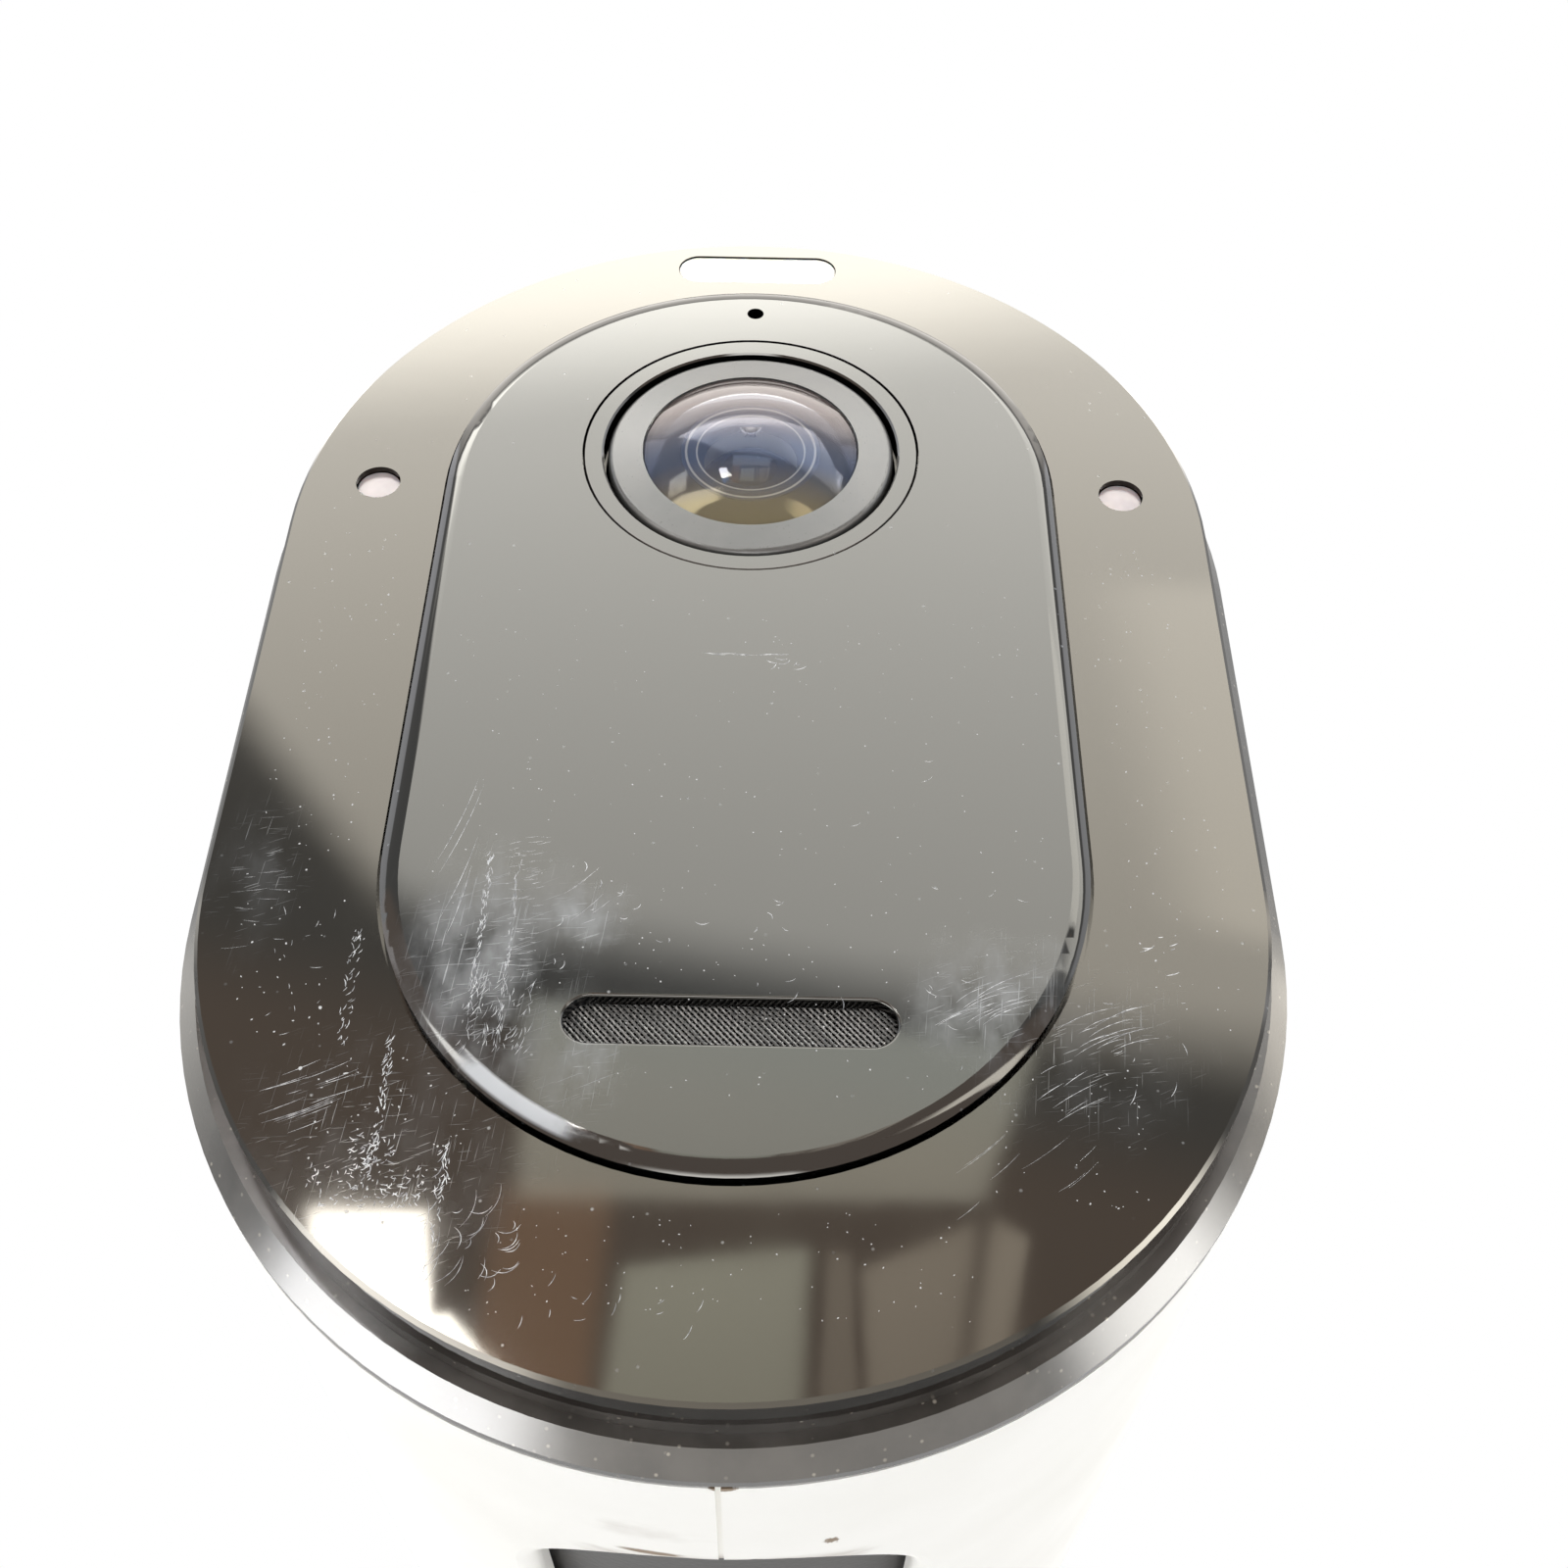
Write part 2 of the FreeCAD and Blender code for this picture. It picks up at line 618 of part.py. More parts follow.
def make_latch_screw():
    shank = post(SCREW_RADIUS, latch_z - LATCH_SCREW_BITE, latch_z + LATCH_THICK, 0, LATCH_SCREW_Y)
    low = latch_z + LATCH_THICK
    head = post(SCREW_HEAD_RADIUS, low, low + SCREW_HEAD_THICK, 0, LATCH_SCREW_Y)
    return shank.fuse(head).removeSplitter()


# The face

def make_front_bezel():
    body = stadium_body(profile_face(
        (0, plate_back), (plate_half, plate_back), (plate_half, ledge_y), (ledge_half, ledge_y),
        (HALF_WIDTH, rim_y), (HALF_WIDTH, rim_back), (skirt_half, rim_back),
        (skirt_half, skirt_end), (0, skirt_end)))
    cavity = stadium(skirt_inner, wall_back, skirt_end + PAST)
    seal_start = rim_back + SEAL_SETBACK
    groove = stadium(skirt_half + PAST, seal_start, seal_start + SEAL_WIDTH)
    groove = groove.cut(stadium(skirt_half - SEAL_GROOVE, seal_start, seal_start + SEAL_WIDTH))
    posts = [disc(POST_RADIUS, wall_back, board_front, x, z) for x, z in core_screw_places()]
    for x, z in holder_screw_places():
        posts.append(disc(HOLDER_POST_RADIUS, wall_back, holder_front, x, z))
    for x in (-MOTION_POST_X, MOTION_POST_X):
        posts.append(disc(SMALL_POST_RADIUS, wall_back, motion_board_front(), x, MOTION_Z))
    for x, z in both_sides(((TOP_POST_X, mic_z + TOP_POST_RISE),)):
        posts.append(disc(SMALL_POST_RADIUS, wall_back, wall_back + MIC_SIZE[1], x, z))
    body = body.cut([cavity, groove]).fuse(posts)
    drills = face_holes(plate_back - PAST, wall_back + PAST)
    for x, z in core_screw_places():
        drills.append(disc(SCREW_RADIUS + SEAT_GAP, board_front - SCREW_LENGTH, board_front + PAST, x, z))
    for x, z in holder_screw_places():
        drills.append(disc(HOLDER_SCREW_RADIUS + SEAT_GAP, holder_front - HOLDER_SCREW_BITE - PLAY,
                           holder_front + PAST, x, z))
    return body.cut(drills).removeSplitter()


def face_holes(near, far):
    """Everything that looks out through the plate and the wall behind it."""
    holes = [
        disc(LENS_BEZEL_RADIUS + FIT_GAP, near, far, 0, lens_z),
        pill(SPOT_HALF_LENGTH + SEAT_GAP, SPOT_HALF_HEIGHT + SEAT_GAP, X, Y, near, far, Z * spot_z),
        disc(MIC_HOLE, near, far, 0, mic_z),
        pill(SLOT_HALF_LENGTH, SLOT_HALF_HEIGHT, X, Y, near, far, Z * slot_z),
        disc(MOTION_WINDOW, near, far, 0, MOTION_Z),
    ]
    for x in (-side_window_x, side_window_x):
        holes.append(disc(SIDE_WINDOW_RADIUS + SEAT_GAP, near, far, x, side_window_z))
    return holes


def make_rim_seal():
    start = rim_back + SEAL_SETBACK + SEAT_GAP
    end = start + SEAL_WIDTH - 2 * SEAT_GAP
    outer_half = inner_half(end) - SEAL_GAP
    inner = skirt_half - SEAL_GROOVE + SEAT_GAP
    ring = stadium(outer_half, start, end)
    return ring.cut(stadium(inner, start - PAST, end + PAST))


def make_face_plate():
    body = stadium_body(profile_face(
        (0, plate_y), (plate_half - PLATE_BEVEL, plate_y), (plate_half, plate_y + PLATE_BEVEL),
        (plate_half, plate_back), (0, plate_back)))
    pocket = stadium(panel_half + PANEL_GAP, plate_y - PAST, panel_back, PANEL_STRAIGHT, PANEL_LIFT)
    return body.cut([pocket] + face_holes(plate_y - PAST, plate_back + PAST)).removeSplitter()


def make_center_panel():
    roll_radius = (PANEL_ROLL ** 2 + PANEL_ROLL_DROP ** 2) / (2 * PANEL_ROLL_DROP)
    flat_half = panel_half - PANEL_ROLL
    half_way = PANEL_ROLL / 2
    roll_middle = (flat_half + half_way, panel_y + sag(roll_radius, half_way))
    body = stadium_body(profile_face(
        (0, panel_y), (flat_half, panel_y), (roll_middle, (panel_half, panel_y + PANEL_ROLL_DROP)),
        (panel_half, panel_back), (0, panel_back)), PANEL_STRAIGHT, PANEL_LIFT)
    slot = pill(SLOT_HALF_LENGTH, SLOT_HALF_HEIGHT, X, Y, panel_y - PAST, panel_back + PAST, Z * slot_z)
    body = body.cut(slot)
    slot_edges = [edge for edge in body.Edges if is_slot_edge(edge)]
    body = body.makeFillet(SLOT_ROUND, slot_edges)
    mesh_pocket = pill(SLOT_HALF_LENGTH + MESH_BORDER + SEAT_GAP, SLOT_HALF_HEIGHT + MESH_BORDER + SEAT_GAP,
                       X, Y, mesh_y, panel_back + PAST, Z * slot_z)
    lens_hole = disc(TRIM_OUTER + SEAT_GAP, panel_y - PAST, panel_back + PAST, 0, lens_z)
    mic_hole = disc(MIC_HOLE, panel_y - PAST, panel_back + PAST, 0, mic_z)
    return body.cut([mesh_pocket, lens_hole, mic_hole]).removeSplitter()


def is_slot_edge(edge):
    """True for the front edge of the speaker slot in the centre panel."""
    box = edge.BoundBox
    at_front = box.YMax < panel_y + NEAR
    in_slot = abs(box.Center.z - slot_z) < SLOT_HALF_HEIGHT + NEAR
    return at_front and in_slot and box.XLength < 2 * SLOT_HALF_LENGTH + NEAR


def make_spotlight_window():
    return pill(SPOT_HALF_LENGTH, SPOT_HALF_HEIGHT, X, Y, plate_y + SPOT_SETBACK, wall_back, Z * spot_z)


def make_side_windows():
    return Part.makeCompound([
        disc(SIDE_WINDOW_RADIUS, plate_y + SIDE_WINDOW_SETBACK, wall_back, x, side_window_z)
        for x in (-side_window_x, side_window_x)])


# The lens

def make_lens_trim_ring():
    return turned(profile_face(
        (TRIM_INNER, panel_back), (TRIM_INNER, trim_y + TRIM_CHAMFER),
        (TRIM_INNER + TRIM_CHAMFER, trim_y), (TRIM_OUTER - TRIM_CHAMFER, trim_y),
        (TRIM_OUTER, trim_y + TRIM_CHAMFER), (TRIM_OUTER, panel_back)), 0, lens_z)


def make_lens_bezel():
    lip = GLASS_RADIUS + SEAT_GAP
    bore = BARREL_RADIUS + SEAT_GAP
    slope_end = lens_bezel_y + LENS_BEZEL_SLOPE
    edge_inner = LENS_BEZEL_RADIUS - LENS_BEZEL_EDGE
    edge_y = slope_end + LENS_BEZEL_EDGE
    edge_middle = (edge_inner + LENS_BEZEL_EDGE * math.sin(math.pi / 4),
                   edge_y - LENS_BEZEL_EDGE * math.cos(math.pi / 4))
    return turned(profile_face(
        (lip, lens_bezel_y), (edge_inner, slope_end), (edge_middle, (LENS_BEZEL_RADIUS, edge_y)),
        (LENS_BEZEL_RADIUS, wall_back), (bore, wall_back), (bore, glass_back), (lip, glass_back)),
        0, lens_z)


def make_cover_glass():
    half = GLASS_RADIUS / 2
    inner_dome = GLASS_DOME - GLASS_THICK
    inner_radius = math.sqrt(inner_dome ** 2 - (GLASS_DOME - (glass_back - glass_y)) ** 2)
    inner_half_way = inner_radius / 2
    inner_y = glass_y + GLASS_THICK
    return turned(profile_face(
        (0, glass_y), ((half, glass_y + sag(GLASS_DOME, half)), (GLASS_RADIUS, glass_edge)),
        (GLASS_RADIUS, glass_back), (inner_radius, glass_back),
        ((inner_half_way, inner_y + sag(inner_dome, inner_half_way)), (0, inner_y))), 0, lens_z)


def make_lens_barrel():
    seat = retainer_y + RETAINER_THICK + INNER_LENS_THICK
    rear_seat = barrel_back - REAR_LENS_THICK
    bore = RETAINER_INNER - LENS_STOP
    return turned(profile_face(
        (BARREL_MOUTH, glass_back), (BARREL_RADIUS, glass_back), (BARREL_RADIUS, barrel_back),
        (RETAINER_INNER + SEAT_GAP, barrel_back), (RETAINER_INNER + SEAT_GAP, rear_seat),
        (bore, rear_seat), (bore, seat), (RETAINER_OUTER + SEAT_GAP, seat),
        (RETAINER_OUTER + SEAT_GAP, retainer_y)), 0, lens_z)


def make_lens_retainer():
    back = retainer_y + RETAINER_THICK + INNER_LENS_THICK
    lip = RETAINER_INNER - RETAINER_LIP
    bore = RETAINER_INNER + SEAT_GAP
    return turned(profile_face(
        (lip, retainer_y + RETAINER_THICK), (RETAINER_INNER, retainer_y), (RETAINER_OUTER, retainer_y),
        (RETAINER_OUTER, back), (bore, back), (bore, retainer_y + RETAINER_THICK)), 0, lens_z)


def make_inner_lens():
    front = retainer_y + RETAINER_THICK
    back = front + INNER_LENS_THICK
    half = RETAINER_INNER / 2
    return turned(profile_face(
        (0, front),
        ((half, front + sag(SMALL_DOME, half)), (RETAINER_INNER, front + sag(SMALL_DOME, RETAINER_INNER))),
        (RETAINER_INNER, back), (0, back)), 0, lens_z)


def make_rear_lens():
    front = barrel_back - REAR_LENS_THICK
    half = RETAINER_INNER / 2
    return turned(profile_face(
        (0, front), (RETAINER_INNER, front), (RETAINER_INNER, barrel_back - sag(SMALL_DOME, RETAINER_INNER)),
        ((half, barrel_back - sag(SMALL_DOME, half)), (0, barrel_back))), 0, lens_z)


def holder_screw_places():
    reach = HOLDER_SCREW_REACH
    return (reach, lens_z - reach), (-reach, lens_z + reach)


def make_lens_holder():
    body = block(-HOLDER_HALF, HOLDER_HALF, holder_front, holder_back,
                 lens_z - HOLDER_HALF, lens_z + HOLDER_HALF)
    holes = [disc(BARREL_RADIUS + SEAT_GAP, holder_front - PAST, barrel_back, 0, lens_z),
             disc(HOLDER_APERTURE, holder_front, holder_back + PAST, 0, lens_z)]
    for x, z in holder_screw_places():
        holes.append(disc(HOLDER_SCREW_RADIUS + SEAT_GAP, holder_front - PAST, holder_back + PAST, x, z))
    return body.cut(holes)


def make_holder_screws():
    screws = []
    for x, z in holder_screw_places():
        shank = disc(HOLDER_SCREW_RADIUS, holder_front - HOLDER_SCREW_BITE, holder_back, x, z)
        head = disc(HOLDER_HEAD_RADIUS, holder_back, holder_back + HOLDER_HEAD_THICK, x, z)
        screws.append(shank.fuse(head).removeSplitter())
    return Part.makeCompound(screws)


# The filter changer and the sensor

def make_filter_housing():
    body = block(-FILTER_HALF_WIDTH, FILTER_HALF_WIDTH, holder_back, filter_back,
                 lens_z - FILTER_HALF_HEIGHT, lens_z + FILTER_HALF_HEIGHT)
    near, far = shuttle_track()
    track = block(-FILTER_HALF_WIDTH + FILTER_WALL, FILTER_HALF_WIDTH - FILTER_WALL, near, far,
                  lens_z - FILTER_HALF_HEIGHT + FILTER_WALL, lens_z + FILTER_HALF_HEIGHT - FILTER_WALL)
    light = disc(APERTURE_RADIUS, holder_back - PAST, filter_back + PAST, 0, lens_z)
    width, thick, height = SENSOR_SIZE
    sensor_pocket = centred_block((width + FIT_GAP, thick, height + FIT_GAP), filter_back - thick, lens_z)
    return body.cut([track, light, sensor_pocket])


def shuttle_track():
    """Front and back of the track that the shuttle slides in."""
    near = holder_back + FILTER_WALL
    far = filter_back - SENSOR_SIZE[1] - FILTER_WALL
    return near, far


def filter_glass(x, inset=0.0):
    near, far = shuttle_track()
    half = FILTER_GLASS / 2 - inset
    return block(x - half, x + half, near + FILTER_PLAY, far - FILTER_PLAY, lens_z - half, lens_z + half)


def make_filter_shuttle():
    near, far = shuttle_track()
    end = FILTER_GLASS / 2 + FILTER_BORDER
    half_height = FILTER_HALF_HEIGHT - FILTER_WALL - FILTER_PLAY
    frame = block(-end, FILTER_TRAVEL + end, near + FILTER_PLAY, far - FILTER_PLAY,
                  lens_z - half_height, lens_z + half_height)
    return frame.cut([filter_glass(0), filter_glass(FILTER_TRAVEL)])


def make_infrared_cut_glass():
    return filter_glass(0, SEAT_GAP / 2)


def make_clear_glass():
    return filter_glass(FILTER_TRAVEL, SEAT_GAP / 2)


def make_filter_coil():
    z = lens_z - FILTER_HALF_HEIGHT - COIL_RADIUS
    y = (holder_back + filter_back) / 2
    bobbin = Part.makeCylinder(COIL_RADIUS, COIL_LENGTH, Vector(-COIL_LENGTH / 2, y, z), X)
    ends = [Part.makeCylinder(COIL_PIN_RADIUS, COIL_PIN_LENGTH, Vector(side, y, z), X)
            for side in (-COIL_LENGTH / 2 - COIL_PIN_LENGTH, COIL_LENGTH / 2)]
    return bobbin.fuse(ends)


def make_image_sensor():
    return centred_block(SENSOR_SIZE, filter_back - SENSOR_SIZE[1], lens_z)


def make_sensor_board():
    size = (2 * SENSOR_BOARD_HALF_WIDTH, SENSOR_BOARD_THICK, 2 * SENSOR_BOARD_HALF_HEIGHT)
    board = centred_block(size, filter_back, lens_z)
    connector = centred_block(CONNECTOR_SIZE, sensor_board_back, flex_z())
    return board.fuse(connector).removeSplitter()


def flex_z():
    """Height of the flex cable and of the connectors at its ends."""
    return lens_z - SENSOR_BOARD_HALF_HEIGHT + CONNECTOR_SIZE[2]


def make_flex_cable():
    near = sensor_board_back + CONNECTOR_SIZE[1]
    far = board_front - CONNECTOR_SIZE[1]
    quarter = (far - near) / 4
    z = flex_z()

    def edge_pair(height):
        points = [Vector(-FLEX_HALF_WIDTH, near + i * quarter, height + side * FLEX_BULGE)
                  for i, side in enumerate((0, 1, 0, -1, 0))]
        return points[0], points[4], [Part.Arc(*points[0:3]).toShape(), Part.Arc(*points[2:5]).toShape()]

    low_start, low_end, low_edges = edge_pair(z - FLEX_THICK / 2)
    high_start, high_end, high_edges = edge_pair(z + FLEX_THICK / 2)
    ends = [Part.LineSegment(low_start, high_start).toShape(), Part.LineSegment(low_end, high_end).toShape()]
    wire = Part.Wire(Part.__sortEdges__(low_edges + high_edges + ends))
    return Part.Face(wire).extrude(X * (2 * FLEX_HALF_WIDTH))


# Lights, microphone, motion sensor and speaker

def top_board_front():
    return wall_back + MIC_SIZE[1]


def make_top_board():
    return block(-TOP_BOARD_HALF_WIDTH, TOP_BOARD_HALF_WIDTH, top_board_front(),
                 top_board_front() + TOP_BOARD_THICK, mic_z - TOP_BOARD_REACH, spot_z - TOP_BOARD_DROP)


def make_spotlight_leds():
    size = (SPOT_LED_SIZE, LED_THICK, SPOT_LED_SIZE)
    return Part.makeCompound([
        centred_block(size, top_board_front() - LED_THICK, spot_z - SPOT_LED_DROP, x)
        for x in spread(SPOT_LED_COUNT, SPOT_LED_PITCH)])


def make_microphone():
    return centred_block(MIC_SIZE, wall_back, mic_z)


def make_side_boards():
    return Part.makeCompound([
        centred_block(SIDE_BOARD_SIZE, wall_back + LED_THICK, side_window_z, x)
        for x in (-side_window_x + SIDE_BOARD_SHIFT, side_window_x - SIDE_BOARD_SHIFT)])


def make_infrared_leds():
    return Part.makeCompound([
        disc(SIDE_LED_RADIUS, wall_back, wall_back + LED_THICK, x, side_window_z)
        for x in (-side_window_x, side_window_x)])


def motion_board_front():
    return wall_back + MOTION_SETBACK + MOTION_CAN_LENGTH


def make_motion_lens():
    return disc(MOTION_LENS_RADIUS, wall_back, wall_back + MOTION_LENS_THICK, 0, MOTION_Z)


def make_motion_sensor():
    back = motion_board_front()
    can = disc(MOTION_CAN_RADIUS, back - MOTION_CAN_LENGTH, back, 0, MOTION_Z)
    flange = disc(MOTION_CAN_RADIUS + MOTION_CAN_FLANGE, back - MOTION_CAN_FLANGE, back, 0, MOTION_Z)
    return can.fuse(flange).removeSplitter()


def make_motion_board():
    size = (2 * MOTION_BOARD_HALF_WIDTH, BOARD_THICK, 2 * MOTION_BOARD_HALF_HEIGHT)
    return centred_block(size, motion_board_front(), MOTION_Z)


def make_speaker_mesh():
    return pill(SLOT_HALF_LENGTH + MESH_BORDER, SLOT_HALF_HEIGHT + MESH_BORDER, X, Y,
                mesh_y, mesh_y + MESH_THICK, Z * slot_z)


def make_speaker_frame():
    back = wall_back + SPEAKER_DEPTH
    inner = SPEAKER_RADIUS - SPEAKER_RIM
    return turned(profile_face(
        (inner, wall_back), (SPEAKER_RADIUS, wall_back), (SPEAKER_RADIUS, wall_back + SPEAKER_RIM),
        (SPEAKER_BACK_RADIUS, back), (SPEAKER_HOLE, back),
        (SPEAKER_HOLE, back - SPEAKER_WALL), (SPEAKER_BACK_RADIUS - SPEAKER_WALL, back - SPEAKER_WALL),
        (inner, wall_back + SPEAKER_RIM)), 0, slot_z)


def make_speaker_cone():
    rim = SPEAKER_RADIUS - SPEAKER_RIM - SEAT_GAP
    front = wall_back + CONE_CLEARANCE
    back = wall_back + SPEAKER_DEPTH - SPEAKER_WALL - CONE_CLEARANCE
    return turned(profile_face(
        (0, back - CONE_THICK), (CONE_BACK_RADIUS, back - CONE_THICK), (rim, front),
        (rim, front + CONE_THICK), (CONE_BACK_RADIUS, back), (0, back)), 0, slot_z)


def make_speaker_magnet():
    back = wall_back + SPEAKER_DEPTH
    return disc(SPEAKER_MAGNET_RADIUS, back, back + SPEAKER_MAGNET_THICK, 0, slot_z)


# Boards in the tray

def make_main_board():
    body = stadium(board_half, board_front, board_back)
    holes = [disc(SCREW_RADIUS + SEAT_GAP, board_front - PAST, board_back + PAST, x, z)
             for x, z in core_screw_places()]
    connector = centred_block(CONNECTOR_SIZE, board_front - CONNECTOR_SIZE[1], flex_z())
    return body.cut(holes).fuse(connector).removeSplitter()


def make_processor_shield():
    return centred_block(SHIELD_SIZE, board_front - SHIELD_SIZE[1], flex_z() - SHIELD_DROP)


def make_heat_spreader():
    return centred_block(SPREADER_SIZE, board_front - SHIELD_SIZE[1] - SPREADER_SIZE[1],
                         flex_z() - SHIELD_DROP)


def make_radio_module():
    return centred_block(RADIO_SIZE, board_front - RADIO_SIZE[1], RADIO_RISE - STRAIGHT - board_half)


def make_antennas():
    start = skirt_end + ANTENNA_START
    pair = []
    for side in (-1, 1):
        wall = side * tray_inner
        low, high = sorted((wall, wall - side * ANTENNA_THICK))
        pair.append(block(low, high, start, start + ANTENNA_LENGTH,
                          -ANTENNA_HEIGHT / 2, ANTENNA_HEIGHT / 2))
    return Part.makeCompound(pair)


def make_core_screws():
    screws = []
    for x, z in core_screw_places():
        head = disc(SCREW_HEAD_RADIUS, partition_back - SCREW_HEAD_THICK, partition_back, x, z)
        reach = board_front - SCREW_LENGTH / 2
        shank = disc(SCREW_RADIUS, reach, partition_back - SCREW_HEAD_THICK, x, z)
        screws.append(head.fuse(shank).removeSplitter())
    return Part.makeCompound(screws)


# The tray with the battery bay, and the port plate underneath

def make_core_tray():
    body = stadium(tray_half, skirt_end, tray_end).fuse(
        stadium(spigot_half, skirt_end - SPIGOT_LENGTH, skirt_end))
    front_room = stadium(tray_inner, skirt_end - SPIGOT_LENGTH - PAST, partition_front)
    bay = stadium(tray_inner, partition_back, tray_end + PAST)
    body = body.cut([front_room, bay])
    posts = [disc(POST_RADIUS, board_back, partition_front, x, z) for x, z in core_screw_places()]
    low = tray_floor - TRAY_WALL / 2
    for x, y in port_post_places():
        posts.append(post(PORT_POST_RADIUS, low, port_board_z, x, y))
    body = body.fuse(posts)
    under = -STRAIGHT - tray_half - PAST
    recess = opening_block(PORT_LAP + SEAT_GAP, under, -STRAIGHT).cut(
        stadium(port_inner - SEAT_GAP, skirt_end - 2.0, tray_end))
    holes = [recess]
    for x, z in core_screw_places():
        holes.append(disc(SCREW_RADIUS + SEAT_GAP, board_back - PAST, partition_back, x, z))
        holes.append(disc(SCREW_HEAD_RADIUS + SEAT_GAP, partition_back - SCREW_HEAD_THICK,
                          partition_back + PAST, x, z))
    for x in spread(CONTACT_COUNT, CONTACT_PITCH):
        holes.append(disc(CONTACT_RADIUS + FIT_GAP, partition_front - PAST, partition_back + PAST,
                          x, CONTACT_Z))
    for x in spread(CHARGE_PIN_COUNT, CHARGE_PIN_PITCH):
        holes.append(post(CHARGE_PIN_RADIUS + SEAT_GAP, under, tray_floor + 3.0, x, charge_y))
    holes.append(post(SYNC_RADIUS + SYNC_FLANGE + FIT_GAP, under, tray_floor + PAST, 0, sync_y))
    holes.append(block(-NOTCH_HALF_WIDTH, NOTCH_HALF_WIDTH, notch_front, tray_end + PAST,
                       under, battery_floor))
    window_back = latch_front + LATCH_THICK + LATCH_PLAY
    holes.append(block(-LATCH_HALF_WIDTH - WINDOW_EDGE, LATCH_HALF_WIDTH + WINDOW_EDGE,
                       window_back - LATCH_WINDOW, window_back, under, tray_floor + PAST))
    return body.cut(holes).removeSplitter()


def port_post_places():
    front = opening_start + PORT_LAP + PORT_POST_RADIUS
    back = board_front - PORT_POST_INSET
    reach = PORT_BOARD_HALF_WIDTH - PORT_POST_EDGE
    return [(x, y) for x in (-reach, reach) for y in (front, back)]


def make_port_plate():
    low = -STRAIGHT - port_half - PAST
    body = opening_block(PORT_LAP, low, -STRAIGHT).common(
        stadium(port_half, opening_start - PORT_LAP - PAST, opening_end + PORT_LAP + PAST))
    body = body.cut(stadium(port_inner, opening_start - PORT_LAP - PAST, opening_end + PORT_LAP + PAST))
    holes = [post(SYNC_RADIUS + FIT_GAP, low, tray_floor, 0, sync_y)]
    for x in spread(CHARGE_PIN_COUNT, CHARGE_PIN_PITCH):
        holes.append(post(CHARGE_PIN_RADIUS + SEAT_GAP, low, tray_floor, x, charge_y))
    return body.cut(holes)


def make_charge_contacts():
    pins = []
    for x in spread(CHARGE_PIN_COUNT, CHARGE_PIN_PITCH):
        surface = -STRAIGHT - math.sqrt(port_half ** 2 - (abs(x) + CHARGE_PIN_RADIUS) ** 2)
        pins.append(post(CHARGE_PIN_RADIUS, surface, port_board_z, x, charge_y))
    return Part.makeCompound(pins)


def make_port_magnets():
    rise = tray_inner - math.sqrt(tray_inner ** 2 - PORT_MAGNET_RADIUS ** 2)
    low = tray_floor + rise + SEAT_GAP
    return Part.makeCompound([
        post(PORT_MAGNET_RADIUS, low, port_board_z, 0, charge_y + side * PORT_MAGNET_SPREAD)
        for side in (-1, 1)])


def make_port_board():
    front = opening_start - PORT_LAP
    return block(-PORT_BOARD_HALF_WIDTH, PORT_BOARD_HALF_WIDTH, front, board_front - FIT_GAP,
                 port_board_z, port_board_z + PORT_BOARD_THICK)


def make_sync_switch():
    half = SWITCH_SIZE / 2
    return block(-half, half, sync_y - half, sync_y + half, port_board_z - SWITCH_THICK, port_board_z)


def make_sync_button():
    flange_radius = SYNC_RADIUS + SYNC_FLANGE
    rise = port_inner - math.sqrt(port_inner ** 2 - flange_radius ** 2)
    seat = -STRAIGHT - port_inner + rise + SEAT_GAP
    cap = post(SYNC_RADIUS, -STRAIGHT - port_half - SYNC_PROUD, seat, 0, sync_y)
    flange = post(flange_radius, seat, seat + SYNC_FLANGE_THICK, 0, sync_y)
    stem_top = port_board_z - SWITCH_THICK - SYNC_TRAVEL - SEAT_GAP
    stem = post(SYNC_STEM_RADIUS, seat, stem_top, 0, sync_y)
    return cap.fuse([flange, stem]).removeSplitter()


# The battery

def battery_block(inset):
    body = stadium(battery_half - inset, battery_front + inset, battery_back - inset)
    reach = battery_half + STRAIGHT
    below = block(-reach, reach, battery_front - PAST, battery_back + PAST,
                  -reach - PAST, battery_floor + inset)
    return body.cut(below)


def make_battery_case():
    body = battery_block(0)
    back_edges = [edge for edge in body.Edges if edge.BoundBox.YMin > battery_back - 0.01]
    body = body.makeFillet(BATTERY_ROUND, back_edges)
    holes = [battery_block(BATTERY_WALL)]
    width, height = TERMINAL_SIZE
    for x in spread(CONTACT_COUNT, CONTACT_PITCH):
        holes.append(centred_block((width + 2 * SEAT_GAP, 2 * BATTERY_WALL, height + 2 * SEAT_GAP),
                                   battery_front - BATTERY_WALL, CONTACT_Z, x))
    return body.cut(holes)


def make_battery_cells():
    room = battery_back - battery_front - 2 * BATTERY_WALL
    thick = (room - 3 * CELL_GAP) / 2
    first = battery_front + BATTERY_WALL + CELL_GAP
    size = (2 * (battery_half - CELL_MARGIN), thick, 2 * (STRAIGHT + CELL_REACH))
    cells = []
    for y in (first, first + thick + CELL_GAP):
        cell = centred_block(size, y, 0)
        cells.append(cell.makeFillet(CELL_ROUND, edges_along(cell, Y)))
    return Part.makeCompound(cells)


def make_battery_terminals():
    width, height = TERMINAL_SIZE
    return Part.makeCompound([
        centred_block((width, BATTERY_WALL, height), battery_front, CONTACT_Z, x)
        for x in spread(CONTACT_COUNT, CONTACT_PITCH)])


def make_battery_contacts():
    return Part.makeCompound([
        disc(CONTACT_RADIUS, board_back, battery_front - CONTACT_GAP, x, CONTACT_Z)
        for x in spread(CONTACT_COUNT, CONTACT_PITCH)])


